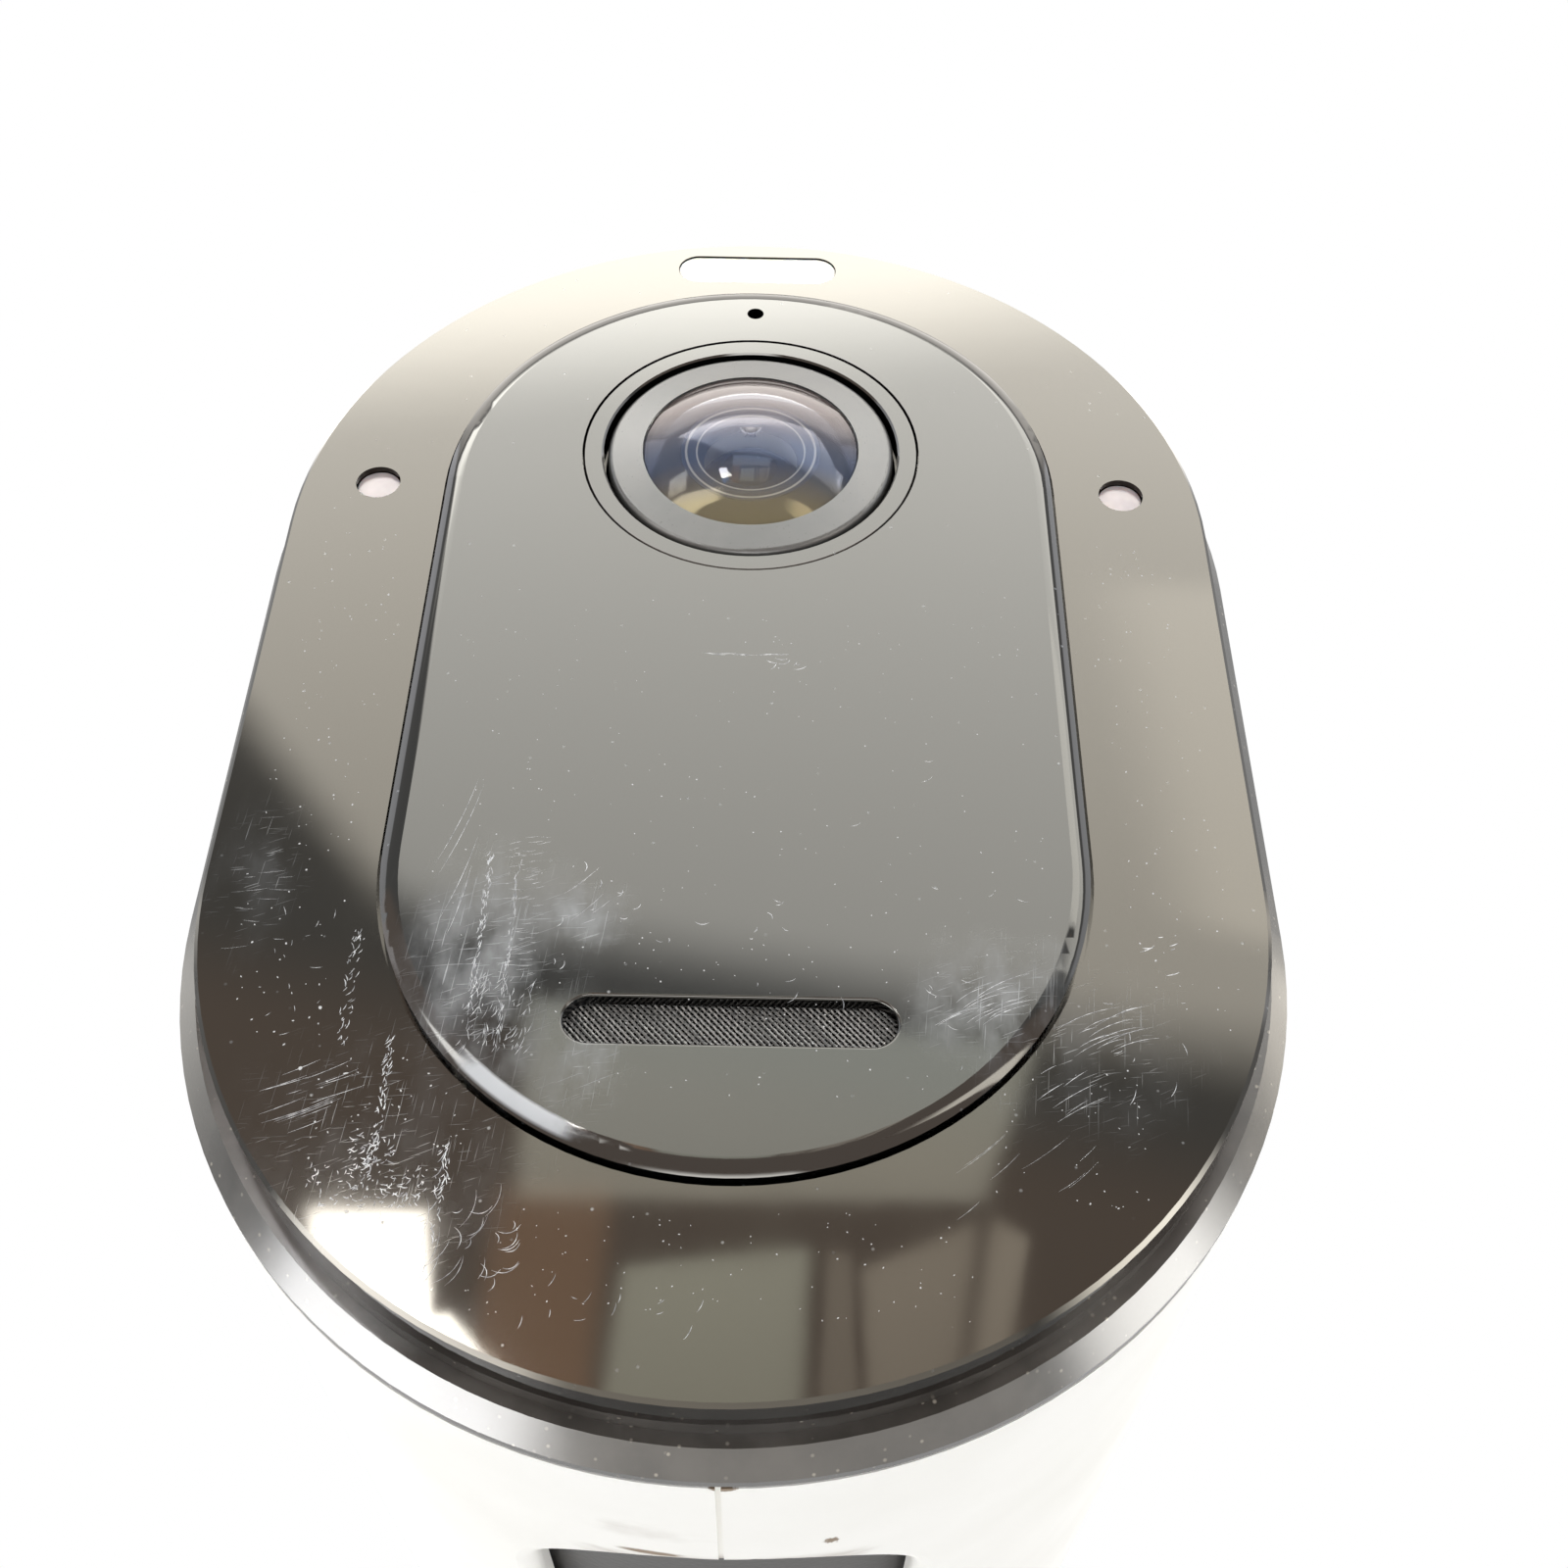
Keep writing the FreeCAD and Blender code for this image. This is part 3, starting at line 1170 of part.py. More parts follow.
PARTS = {
    "housing": make_housing,
    "mount_insert": make_mount_insert,
    "steel_plate": make_steel_plate,
    "release_button": make_release_button,
    "latch_spring": make_latch_spring,
    "latch_screw": make_latch_screw,
    "front_bezel": make_front_bezel,
    "rim_seal": make_rim_seal,
    "face_plate": make_face_plate,
    "center_panel": make_center_panel,
    "spotlight_window": make_spotlight_window,
    "side_windows": make_side_windows,
    "lens_trim_ring": make_lens_trim_ring,
    "lens_bezel": make_lens_bezel,
    "cover_glass": make_cover_glass,
    "lens_barrel": make_lens_barrel,
    "lens_retainer": make_lens_retainer,
    "inner_lens": make_inner_lens,
    "rear_lens": make_rear_lens,
    "lens_holder": make_lens_holder,
    "holder_screws": make_holder_screws,
    "filter_housing": make_filter_housing,
    "filter_shuttle": make_filter_shuttle,
    "infrared_cut_glass": make_infrared_cut_glass,
    "clear_glass": make_clear_glass,
    "filter_coil": make_filter_coil,
    "image_sensor": make_image_sensor,
    "sensor_board": make_sensor_board,
    "flex_cable": make_flex_cable,
    "top_board": make_top_board,
    "spotlight_leds": make_spotlight_leds,
    "microphone": make_microphone,
    "side_boards": make_side_boards,
    "infrared_leds": make_infrared_leds,
    "motion_lens": make_motion_lens,
    "motion_sensor": make_motion_sensor,
    "motion_board": make_motion_board,
    "speaker_mesh": make_speaker_mesh,
    "speaker_frame": make_speaker_frame,
    "speaker_cone": make_speaker_cone,
    "speaker_magnet": make_speaker_magnet,
    "main_board": make_main_board,
    "processor_shield": make_processor_shield,
    "heat_spreader": make_heat_spreader,
    "radio_module": make_radio_module,
    "antennas": make_antennas,
    "core_screws": make_core_screws,
    "core_tray": make_core_tray,
    "port_plate": make_port_plate,
    "charge_contacts": make_charge_contacts,
    "port_magnets": make_port_magnets,
    "port_board": make_port_board,
    "sync_switch": make_sync_switch,
    "sync_button": make_sync_button,
    "battery_case": make_battery_case,
    "battery_cells": make_battery_cells,
    "battery_terminals": make_battery_terminals,
    "battery_contacts": make_battery_contacts,
}

os.makedirs("parts", exist_ok=True)
for name, make in PARTS.items():
    make().exportStep("parts/" + name + ".step")
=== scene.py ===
"""The wireless security camera as photographed: finishes, woven grille, wear and light."""
import json
import math

import bpy
from mathutils import Matrix, Vector


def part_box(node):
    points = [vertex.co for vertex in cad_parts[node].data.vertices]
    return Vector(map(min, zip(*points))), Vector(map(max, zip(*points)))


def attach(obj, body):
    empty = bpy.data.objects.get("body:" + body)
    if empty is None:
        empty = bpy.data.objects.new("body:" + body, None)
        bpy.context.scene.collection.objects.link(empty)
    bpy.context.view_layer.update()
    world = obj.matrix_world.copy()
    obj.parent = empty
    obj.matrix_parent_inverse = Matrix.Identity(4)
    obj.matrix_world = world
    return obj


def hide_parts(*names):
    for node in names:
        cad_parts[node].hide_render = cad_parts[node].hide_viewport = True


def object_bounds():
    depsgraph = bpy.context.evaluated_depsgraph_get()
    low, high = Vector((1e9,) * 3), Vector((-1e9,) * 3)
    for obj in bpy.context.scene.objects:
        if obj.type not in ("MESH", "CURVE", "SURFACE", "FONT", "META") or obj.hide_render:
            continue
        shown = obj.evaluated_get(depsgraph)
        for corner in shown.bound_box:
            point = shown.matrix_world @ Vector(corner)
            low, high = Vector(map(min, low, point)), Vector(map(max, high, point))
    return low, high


MM = 0.001


# Colours, nodes and materials

def linear(code):
    """A hex sRGB colour as linear RGBA."""
    parts = [int(code[i:i + 2], 16) / 255 for i in (1, 3, 5)]
    return tuple(c / 12.92 if c <= 0.04045 else ((c + 0.055) / 1.055) ** 2.4 for c in parts) + (1,)


def add_node(tree, kind, values=None, **settings):
    """A node with its settings. A value that is a node or a socket is linked."""
    node = tree.nodes.new(kind)
    for name, value in settings.items():
        setattr(node, name, value)
    for name, value in (values or {}).items():
        if isinstance(value, bpy.types.Node):
            value = value.outputs[0]
        if isinstance(value, bpy.types.NodeSocket):
            tree.links.new(value, node.inputs[name])
        else:
            node.inputs[name].default_value = value
    return node


def new_material(name):
    material = bpy.data.materials.new(name)
    material.use_nodes = True
    material.node_tree.nodes.clear()
    return material, material.node_tree


def finish_material(material, surface):
    """Ends a material with a shader, or with a Principled one that has these values. A roughness
    of three is the share that it follows, its least and its greatest."""
    tree = material.node_tree
    if isinstance(surface, dict):
        if isinstance(surface["Roughness"], tuple):
            share, least, greatest = surface["Roughness"]
            surface["Roughness"] = add_node(tree, "ShaderNodeMapRange", {
                "Value": share, "To Min": least, "To Max": greatest})
        surface = add_node(tree, "ShaderNodeBsdfPrincipled", surface)
    add_node(tree, "ShaderNodeOutputMaterial", {"Surface": surface})
    return material


# Patterns at a real size in millimetres, fixed to the object

def own_place(tree, scale, location=(0, 0, 0), rotation=(0, 0, 0)):
    """The object's own coordinates, scaled, turned and moved."""
    place = add_node(tree, "ShaderNodeTexCoord")
    return add_node(tree, "ShaderNodeMapping", {
        "Vector": place.outputs["Object"], "Scale": scale, "Location": location, "Rotation": rotation})


def spots(tree, size, drawn_out=(1, 1, 1), detail=2.0):
    """Soft random spots, drawn out along the axes."""
    scaled = own_place(tree, [1 / (size * MM * factor) for factor in drawn_out])
    return add_node(tree, "ShaderNodeTexNoise", {"Vector": scaled, "Scale": 1.0, "Detail": detail})


def grained(tree, size, rise):
    """A surface with a grain of this size, rise millimetres high."""
    height = spots(tree, size, detail=3.0)
    return add_node(tree, "ShaderNodeBump", {"Height": height, "Distance": rise * MM})


def tinted(tree, share, low_colour, high_colour, start=0.35, end=0.65):
    """A colour that turns from one to the other while the share goes from start to end. Each is
    a hex colour or a socket."""
    amount = add_node(tree, "ShaderNodeMapRange", {"Value": share, "From Min": start, "From Max": end})
    low, high = (linear(c) if isinstance(c, str) else c for c in (low_colour, high_colour))
    return add_node(tree, "ShaderNodeMix", {0: amount, 6: low, 7: high}, data_type="RGBA").outputs[2]


def blot(tree, centre, reach, ragged=0.3, soft=0.5):
    """One inside an ellipsoid of the object, in millimetres, and nothing past its ragged edge."""
    scaled = own_place(tree, [1 / (r * MM) for r in reach], [-c / r for c, r in zip(centre, reach)])
    away = add_node(tree, "ShaderNodeVectorMath", {0: scaled}, operation="LENGTH")
    uneven = add_node(tree, "ShaderNodeTexNoise", {"Vector": scaled, "Scale": 2.5, "Detail": 4.0})
    torn = add_node(tree, "ShaderNodeMath", {0: uneven, 1: 2 * ragged, 2: away.outputs["Value"]},
                    operation="MULTIPLY_ADD")
    return add_node(tree, "ShaderNodeMapRange", {
        "Value": torn, "From Min": 1 + ragged - soft, "From Max": 1 + ragged, "To Min": 1.0, "To Max": 0.0},
        interpolation_type="SMOOTHSTEP")


def fine_lines(tree, angle, width, length, share):
    """Straight hairlines at an angle in degrees, on a face that looks along Y."""
    turned = own_place(tree, (1, 1, 1), rotation=(0, math.radians(angle), 0))
    drawn = add_node(tree, "ShaderNodeMapping", {
        "Vector": turned, "Scale": (1 / (length * MM), 1 / (length * MM), 1 / (width * MM))})
    noise = add_node(tree, "ShaderNodeTexNoise", {"Vector": drawn, "Scale": 1.0, "Detail": 1.0})
    return add_node(tree, "ShaderNodeMapRange", {
        "Value": noise, "From Min": 1 - share, "From Max": 1.04 - share})


def specks(tree, apart, radius, kept):
    """Small round specks of a radius, about so far apart, in millimetres, with a share kept."""
    scaled = own_place(tree, [1 / (apart * MM)] * 3)
    cells = add_node(tree, "ShaderNodeTexVoronoi", {"Vector": scaled, "Scale": 1.0})
    chance = add_node(tree, "ShaderNodeSeparateXYZ", {0: cells.outputs["Color"]})
    brightness = add_node(tree, "ShaderNodeMapRange", {
        "Value": chance.outputs["X"], "From Min": 1 - kept, "From Max": 1.0})
    return add_node(tree, "ShaderNodeMapRange", {
        "Value": cells, "From Min": 0.4 * radius / apart, "From Max": radius / apart,
        "To Min": brightness, "To Max": 0.0})


def ring_line(tree, z, radius, width):
    """One on a circle about an axis along Y at height z, in millimetres."""
    centred = own_place(tree, (1 / MM, 0, 1 / MM), (0, 0, -z))
    away = add_node(tree, "ShaderNodeVectorMath", {0: centred}, operation="LENGTH")
    off = add_node(tree, "ShaderNodeMath", {0: away.outputs["Value"], 1: radius}, operation="SUBTRACT")
    side = add_node(tree, "ShaderNodeMath", {0: off}, operation="ABSOLUTE")
    return add_node(tree, "ShaderNodeMapRange", {
        "Value": side, "From Min": width * 0.3, "From Max": width * 0.5, "To Min": 1.0, "To Max": 0.0})


# Families of finishes

def moulded(name, colour, worn_colour, roughness, grain, rise, **more):
    """Moulded plastic, rubber or paper: a fine grain and uneven gloss from handling."""
    material, tree = new_material(name)
    handled = spots(tree, 11.0)
    values = {key.replace("_", " "): value for key, value in more.items()}
    return finish_material(material, {
        "Base Color": tinted(tree, handled, colour, worn_colour),
        "Roughness": (handled, roughness * 0.8, roughness * 1.2),
        "Normal": grained(tree, grain, rise), **values})


def worked_metal(name, colour, dull_colour, roughness, line_width, drawn_out, rise=0.003):
    """Metal with the lines of its rolling, turning or drawing, and duller patches."""
    material, tree = new_material(name)
    lines = spots(tree, line_width, drawn_out, detail=3.0)
    return finish_material(material, {
        "Base Color": tinted(tree, spots(tree, 4.0), colour, dull_colour), "Metallic": 1.0,
        "Roughness": (lines, roughness * 0.6, roughness * 1.4),
        "Normal": add_node(tree, "ShaderNodeBump", {"Height": lines, "Distance": rise * MM})})


def clear_part(name, colour, roughness, ior, **more):
    """Glass or clear resin, with faint wiping marks in its gloss."""
    material, tree = new_material(name)
    values = {key.replace("_", " "): value for key, value in more.items()}
    return finish_material(material, {
        "Base Color": linear(colour), "IOR": ior, "Transmission Weight": 1.0,
        "Roughness": (spots(tree, 3.0, (4, 1, 1)), roughness * 0.5, roughness * 1.5),
        **values})


# The frame

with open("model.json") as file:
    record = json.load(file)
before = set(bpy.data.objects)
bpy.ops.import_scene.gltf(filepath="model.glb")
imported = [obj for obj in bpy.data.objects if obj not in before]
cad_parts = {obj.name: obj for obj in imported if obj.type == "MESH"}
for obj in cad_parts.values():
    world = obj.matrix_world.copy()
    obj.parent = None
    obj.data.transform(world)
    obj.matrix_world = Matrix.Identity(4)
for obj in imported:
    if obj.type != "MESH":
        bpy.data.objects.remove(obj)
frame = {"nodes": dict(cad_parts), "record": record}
size_at_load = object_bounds()
nodes = frame["nodes"]
slot_of = {part["node"]: part["material_slot"] for part in frame["record"]["subparts"]}
scene = bpy.context.scene


def corners_of(node):
    """Lowest and highest corner of a node in millimetres."""
    low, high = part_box(node)
    return Vector(low) / MM, Vector(high) / MM


housing_low = corners_of("housing")[0]
plate_low = corners_of("face_plate")[0]
panel_low, panel_high = corners_of("center_panel")
slot_low, slot_high = corners_of("speaker_mesh")
retainer_low, retainer_high = corners_of("lens_retainer")
inner_lens_high = corners_of("inner_lens")[1]
lens_z = (retainer_low.z + retainer_high.z) / 2
panel_round_z = panel_low.z + panel_high.x      # centre of the panel's lower round end


# Housing and bezel

OPENING_SETBACK = 11.25   # from the front edge of the housing to the opening underneath
SCUFF_SHARE = 0.22        # how much of the dirt's colour the scuffs take on


def housing_plastic():
    """White ABS: satin, a little greyed by fingers, with painted brown shade along the lip of the opening
    underneath, scuffs in front of it and dust in the seam behind the rim."""
    material, tree = new_material("white satin ABS")
    handled = spots(tree, 16.0, detail=4.0)
    opening_y = housing_low.y + OPENING_SETBACK
    under = housing_low.z
    # painted shade: a brown band along the lip of the opening, where shade falls into it
    lip = blot(tree, (0, opening_y + 0.5, under), (11.5, 1.7, 1.6), ragged=0.35, soft=0.9)
    mark = blot(tree, (-3.4, opening_y - 0.9, under), (2.2, 0.4, 1), ragged=0.3, soft=0.4)
    scuff = blot(tree, (-4.5, opening_y - 4.0, under), (4.5, 2.0, 1), ragged=0.6, soft=1.0)
    speck = blot(tree, (5.0, opening_y - 2.4, under), (0.5, 0.6, 1), ragged=0.5, soft=0.3)
    seam = blot(tree, (0.2, housing_low.y, under), (0.7, 0.4, 1), ragged=0.5, soft=0.3)
    # the scuff, mark, speck and seam are dirt, the lip is painted shade, and all take the same brown
    dirt_and_painted_shade = add_node(tree, "ShaderNodeMath", {0: scuff, 1: SCUFF_SHARE}, operation="MULTIPLY")
    for share in (lip, mark, speck, seam):
        dirt_and_painted_shade = add_node(tree, "ShaderNodeMath", {0: dirt_and_painted_shade, 1: share}, operation="MAXIMUM")
    clean = tinted(tree, handled, "#fbfaf6", "#f4f3ee")
    return finish_material(material, {
        "Base Color": tinted(tree, dirt_and_painted_shade, clean, "#7d6a55", 0, 1), "Specular IOR Level": 0.25,
        "Roughness": (handled, 0.4, 0.55),
        "Normal": grained(tree, 0.22, 0.004)})


def rim_plastic():
    """Black satin ABS round the face: a softer gloss than the plate, rubbed paler in patches,
    with grains of dust that lie on the ledge."""
    material, tree = new_material("black satin ABS")
    rubbed = spots(tree, 3.5, detail=5.0)
    dust = specks(tree, 0.5, 0.11, 0.35)
    clean = tinted(tree, rubbed, "#2b2926", "#403d39")
    return finish_material(material, {
        "Base Color": tinted(tree, dust, clean, "#a49d90", 0, 1), "IOR": 1.5,
        "Roughness": (rubbed, 0.14, 0.32),
        "Normal": grained(tree, 0.15, 0.0012)})


# Face

# Hairlines on the face: angle in degrees, width and length in millimetres, and share
HAIRLINES = ((84, 0.08, 2.6, 0.33), (24, 0.07, 1.6, 0.31), (5, 0.06, 1.6, 0.31))


def polished_face(name, colour, gloss_colour, worn_places, smeared, edge_rub_and_highlight=None):
    """Piano-black acrylic: a mirror from its mould with a faint waviness, dust on it, and a pale
    haze of hairlines where it has been handled most."""
    material, tree = new_material(name)
    haze = None
    for centre, reach in worn_places:
        place = blot(tree, centre, reach, ragged=0.4, soft=1.1)
        haze = place if haze is None else add_node(
            tree, "ShaderNodeMath", {0: haze, 1: place}, operation="MAXIMUM")
    lines = fine_lines(tree, *HAIRLINES[0])
    for hairline in HAIRLINES[1:]:
        lines = add_node(tree, "ShaderNodeMath", {
            0: lines, 1: fine_lines(tree, *hairline)}, operation="MAXIMUM")
    smear_film_and_painted_tint = spots(tree, 2.4, (1, 1, 1.8), detail=6.0)
    smear = add_node(tree, "ShaderNodeMapRange", {
        "Value": smear_film_and_painted_tint, "From Min": 0.4, "From Max": 0.75, "To Min": 0.0, "To Max": smeared})
    scuffs = add_node(tree, "ShaderNodeMath", {0: lines, 1: 0.5, 2: smear}, operation="MULTIPLY_ADD")
    marks = add_node(tree, "ShaderNodeMath", {0: scuffs, 1: haze}, operation="MULTIPLY")
    # a pale crescent along an edge: partly rubbing haze, partly painted highlight
    if edge_rub_and_highlight:
        marks = add_node(tree, "ShaderNodeMath", {0: marks, 1: edge_rub_and_highlight(tree)}, operation="MAXIMUM")
    dust = add_node(tree, "ShaderNodeMath", {0: specks(tree, 0.8, 0.1, 0.2), 1: 0.5}, operation="MULTIPLY")
    marks = add_node(tree, "ShaderNodeMath", {0: marks, 1: dust}, operation="MAXIMUM")
    gloss = add_node(tree, "ShaderNodeMapRange", {
        "Value": spots(tree, 5.0, (1, 1, 2.5), detail=4.0), "To Min": 0.02, "To Max": 0.08})
    return finish_material(material, {
        "Base Color": tinted(tree, marks, colour, "#b4b8bd", 0, 1), "IOR": 1.5,
        "Specular Tint": linear(gloss_colour),
        "Roughness": (marks, gloss, 0.4),
        "Normal": grained(tree, 9.0, 0.004)})


def panel_edge_rub_and_highlight(tree):
    """A pale crescent along the lower left of the panel's rounded edge: partly rubbing haze, partly a
    painted highlight where the rounded edge catches the window.
    """
    ring = ring_line(tree, panel_round_z, panel_high.x - 0.55, 0.9)
    place = blot(tree, (-9.6, panel_low.y, -24.2), (4.2, 9, 3.6), ragged=0.35, soft=0.5)
    return add_node(tree, "ShaderNodeMath", {0: ring, 1: place}, operation="MULTIPLY")


# Lens

def lens_ring_plastic():
    """Dark grey anodised ring round the glass: even and satin, brighter only along its edge."""
    material, tree = new_material("dark anodised lens ring")
    turning = spots(tree, 0.12)
    return finish_material(material, {
        "Base Color": tinted(tree, spots(tree, 2.5), "#454645", "#4d4d4b"), "IOR": 1.5,
        "Roughness": (turning, 0.24, 0.36),
        "Normal": add_node(tree, "ShaderNodeBump", {"Height": turning, "Distance": 0.001 * MM})})


def retaining_ring():
    """Blackened brass ring, painted a lighter blue-grey than it is, as painted light for what reaches it
    through the glass. Its two polished edges are painted highlights: thin pale circles.
    """
    material, tree = new_material("blackened brass ring")
    # painted highlights: the glints of the ring's two polished edges, painted as thin pale circles
    outer = ring_line(tree, lens_z, retainer_high.x - 0.26, 0.16)
    inner = ring_line(tree, lens_z, inner_lens_high.x + 0.07, 0.12)
    bright = add_node(tree, "ShaderNodeMath", {0: outer, 1: inner}, operation="MAXIMUM")
    return finish_material(material, {
        # painted light: the blue-grey is lighter than blackened brass, for the light that reaches it through
        # the glass
        "Base Color": tinted(tree, bright, "#3a4b64", "#fff8e6", 0, 1), "Specular IOR Level": 0.3,
        "Roughness": (spots(tree, 0.6), 0.3, 0.45)})


PAINTED_TINT_REACH = 5.0          # up and down from the lens's axis, over which the painted reflection colour turns


def coated_cover_glass():
    """Cover glass with a coating against glare. Its gloss is tinted by height as painted reflection
    colour: mauve at the top, blue across the middle and straw-coloured at the bottom. It is milky
    from a layer of grease, which takes the same painted tint."""
    material, tree = new_material("coated cover glass")
    place = add_node(tree, "ShaderNodeTexCoord")
    axes = add_node(tree, "ShaderNodeSeparateXYZ", {0: place.outputs["Object"]})
    height = add_node(tree, "ShaderNodeMapRange", {
        "Value": axes.outputs["Z"], "From Min": (lens_z - PAINTED_TINT_REACH) * MM,
        "From Max": (lens_z + PAINTED_TINT_REACH) * MM})
    # painted reflection colour: straw-coloured low on the glass, blue across the middle, mauve at the top
    lower = tinted(tree, height, "#e0d0a4", "#8492b4", 0.02, 0.28)
    smear_film_and_painted_tint = tinted(tree, height, lower, "#cdb8b4", 0.4, 0.75)
    wiped = spots(tree, 3.0, (4, 1, 1))
    glass = add_node(tree, "ShaderNodeBsdfPrincipled", {
        "Base Color": linear("#c8ccd4"), "IOR": 1.5, "Transmission Weight": 1.0,
        "Specular IOR Level": 0.22, "Specular Tint": smear_film_and_painted_tint,
        "Roughness": add_node(tree, "ShaderNodeMapRange", {"Value": wiped, "To Min": 0.01, "To Max": 0.03})})
    # the grease takes the same painted reflection colour
    grease = add_node(tree, "ShaderNodeBsdfDiffuse", {"Color": smear_film_and_painted_tint})
    share = add_node(tree, "ShaderNodeMapRange", {"Value": wiped, "To Min": 0.1, "To Max": 0.16})
    return finish_material(material, add_node(tree, "ShaderNodeMixShader", {0: share, 1: glass, 2: grease}))


BALL = 1.5                # radius of the strongly curved middle of the inner lens


def inner_glass():
    """Coated inner lens: a dark glossy ball in its middle, with small highlights and a violet
    sheen, in a flat blue-black surround."""
    material, tree = new_material("coated inner lens")
    depth = spots(tree, 1.4)
    centred = own_place(tree, (1 / (BALL * MM), 0, 1 / (BALL * MM)), (0, 0, -lens_z / BALL))
    away = add_node(tree, "ShaderNodeVectorMath", {0: centred, 1: centred}, operation="DOT_PRODUCT")
    left = add_node(tree, "ShaderNodeMath", {0: 1.0, 1: away.outputs["Value"]}, operation="SUBTRACT")
    inside = add_node(tree, "ShaderNodeMath", {0: left, 1: 0.0}, operation="MAXIMUM")
    height = add_node(tree, "ShaderNodeMath", {0: inside}, operation="SQRT")
    return finish_material(material, {
        "Base Color": tinted(tree, depth, "#2b3442", "#3c4654"), "Specular IOR Level": 0.8,
        "Roughness": (depth, 0.02, 0.07),
        "Normal": add_node(tree, "ShaderNodeBump", {"Height": height, "Distance": BALL * MM}),
        "Thin Film Thickness": 130.0, "Thin Film IOR": 1.38})


# Windows, boards and grille

def window_plastic(name, colour, edge_colour, roughness):
    """Milky light-spreading plastic: soft and even, more strongly tinted where it is thick."""
    material, tree = new_material(name)
    depth = spots(tree, 1.6)
    return finish_material(material, {
        "Base Color": tinted(tree, depth, colour, edge_colour), "IOR": 1.49,
        "Subsurface Weight": 0.3, "Subsurface Scale": 0.6 * MM,
        "Roughness": (depth, roughness * 0.8, roughness * 1.2)})


def circuit_board():
    """Solder mask over copper: straight tracks show as paler green lines, with tinned pads."""
    material, tree = new_material("green circuit board")
    scaled = own_place(tree, [1 / (1.1 * MM)] * 3)
    cells = add_node(tree, "ShaderNodeTexVoronoi", {"Vector": scaled, "Scale": 1.0, "Randomness": 0.6},
                     feature="DISTANCE_TO_EDGE")
    pad = add_node(tree, "ShaderNodeMapRange", {"Value": cells, "From Min": 0.36, "From Max": 0.4})
    mask = tinted(tree, cells, "#2c6a42", "#0f3a24", 0.05, 0.09)
    return finish_material(material, {
        "Base Color": tinted(tree, pad, mask, "#b9b7ae", 0, 1), "IOR": 1.5, "Roughness": 0.34,
        "Metallic": add_node(tree, "ShaderNodeMath", {0: pad, 1: 0.9}, operation="MULTIPLY"),
        "Normal": add_node(tree, "ShaderNodeBump", {"Height": cells, "Distance": 0.03 * MM})})


def woven_steel():
    """Blackened stainless wire, painted a mid grey as painted sheen for the dull grey gleam along the top of
    each wire.
    """
    material, tree = new_material("blackened woven steel")
    drawn = spots(tree, 0.08)
    return finish_material(material, {
        "Base Color": tinted(tree, drawn, "#5c5d5d", "#80807e"), "Metallic": 0.4,
        "Roughness": (drawn, 0.4, 0.6)})


def torn_plastic():
    """Lips of a scratch: pale and rough, so they catch light from all sides."""
    material, tree = new_material("torn black acrylic")
    broken = spots(tree, 0.35, detail=4.0)
    return finish_material(material, {
        "Base Color": tinted(tree, broken, "#8a8c90", "#f0f2f4", 0.4, 0.6), "IOR": 1.5,
        "Roughness": (broken, 0.3, 0.6)})


def household_dust():
    """Crumbs of dust: small, pale and matt, some of them yellowish."""
    material, tree = new_material("household dust")
    grit = spots(tree, 2.0)
    return finish_material(material, {
        "Base Color": tinted(tree, grit, "#8f8a80", "#ded6c0"), "IOR": 1.45, "Sheen Weight": 0.3,
        "Roughness": (grit, 0.7, 0.95)})


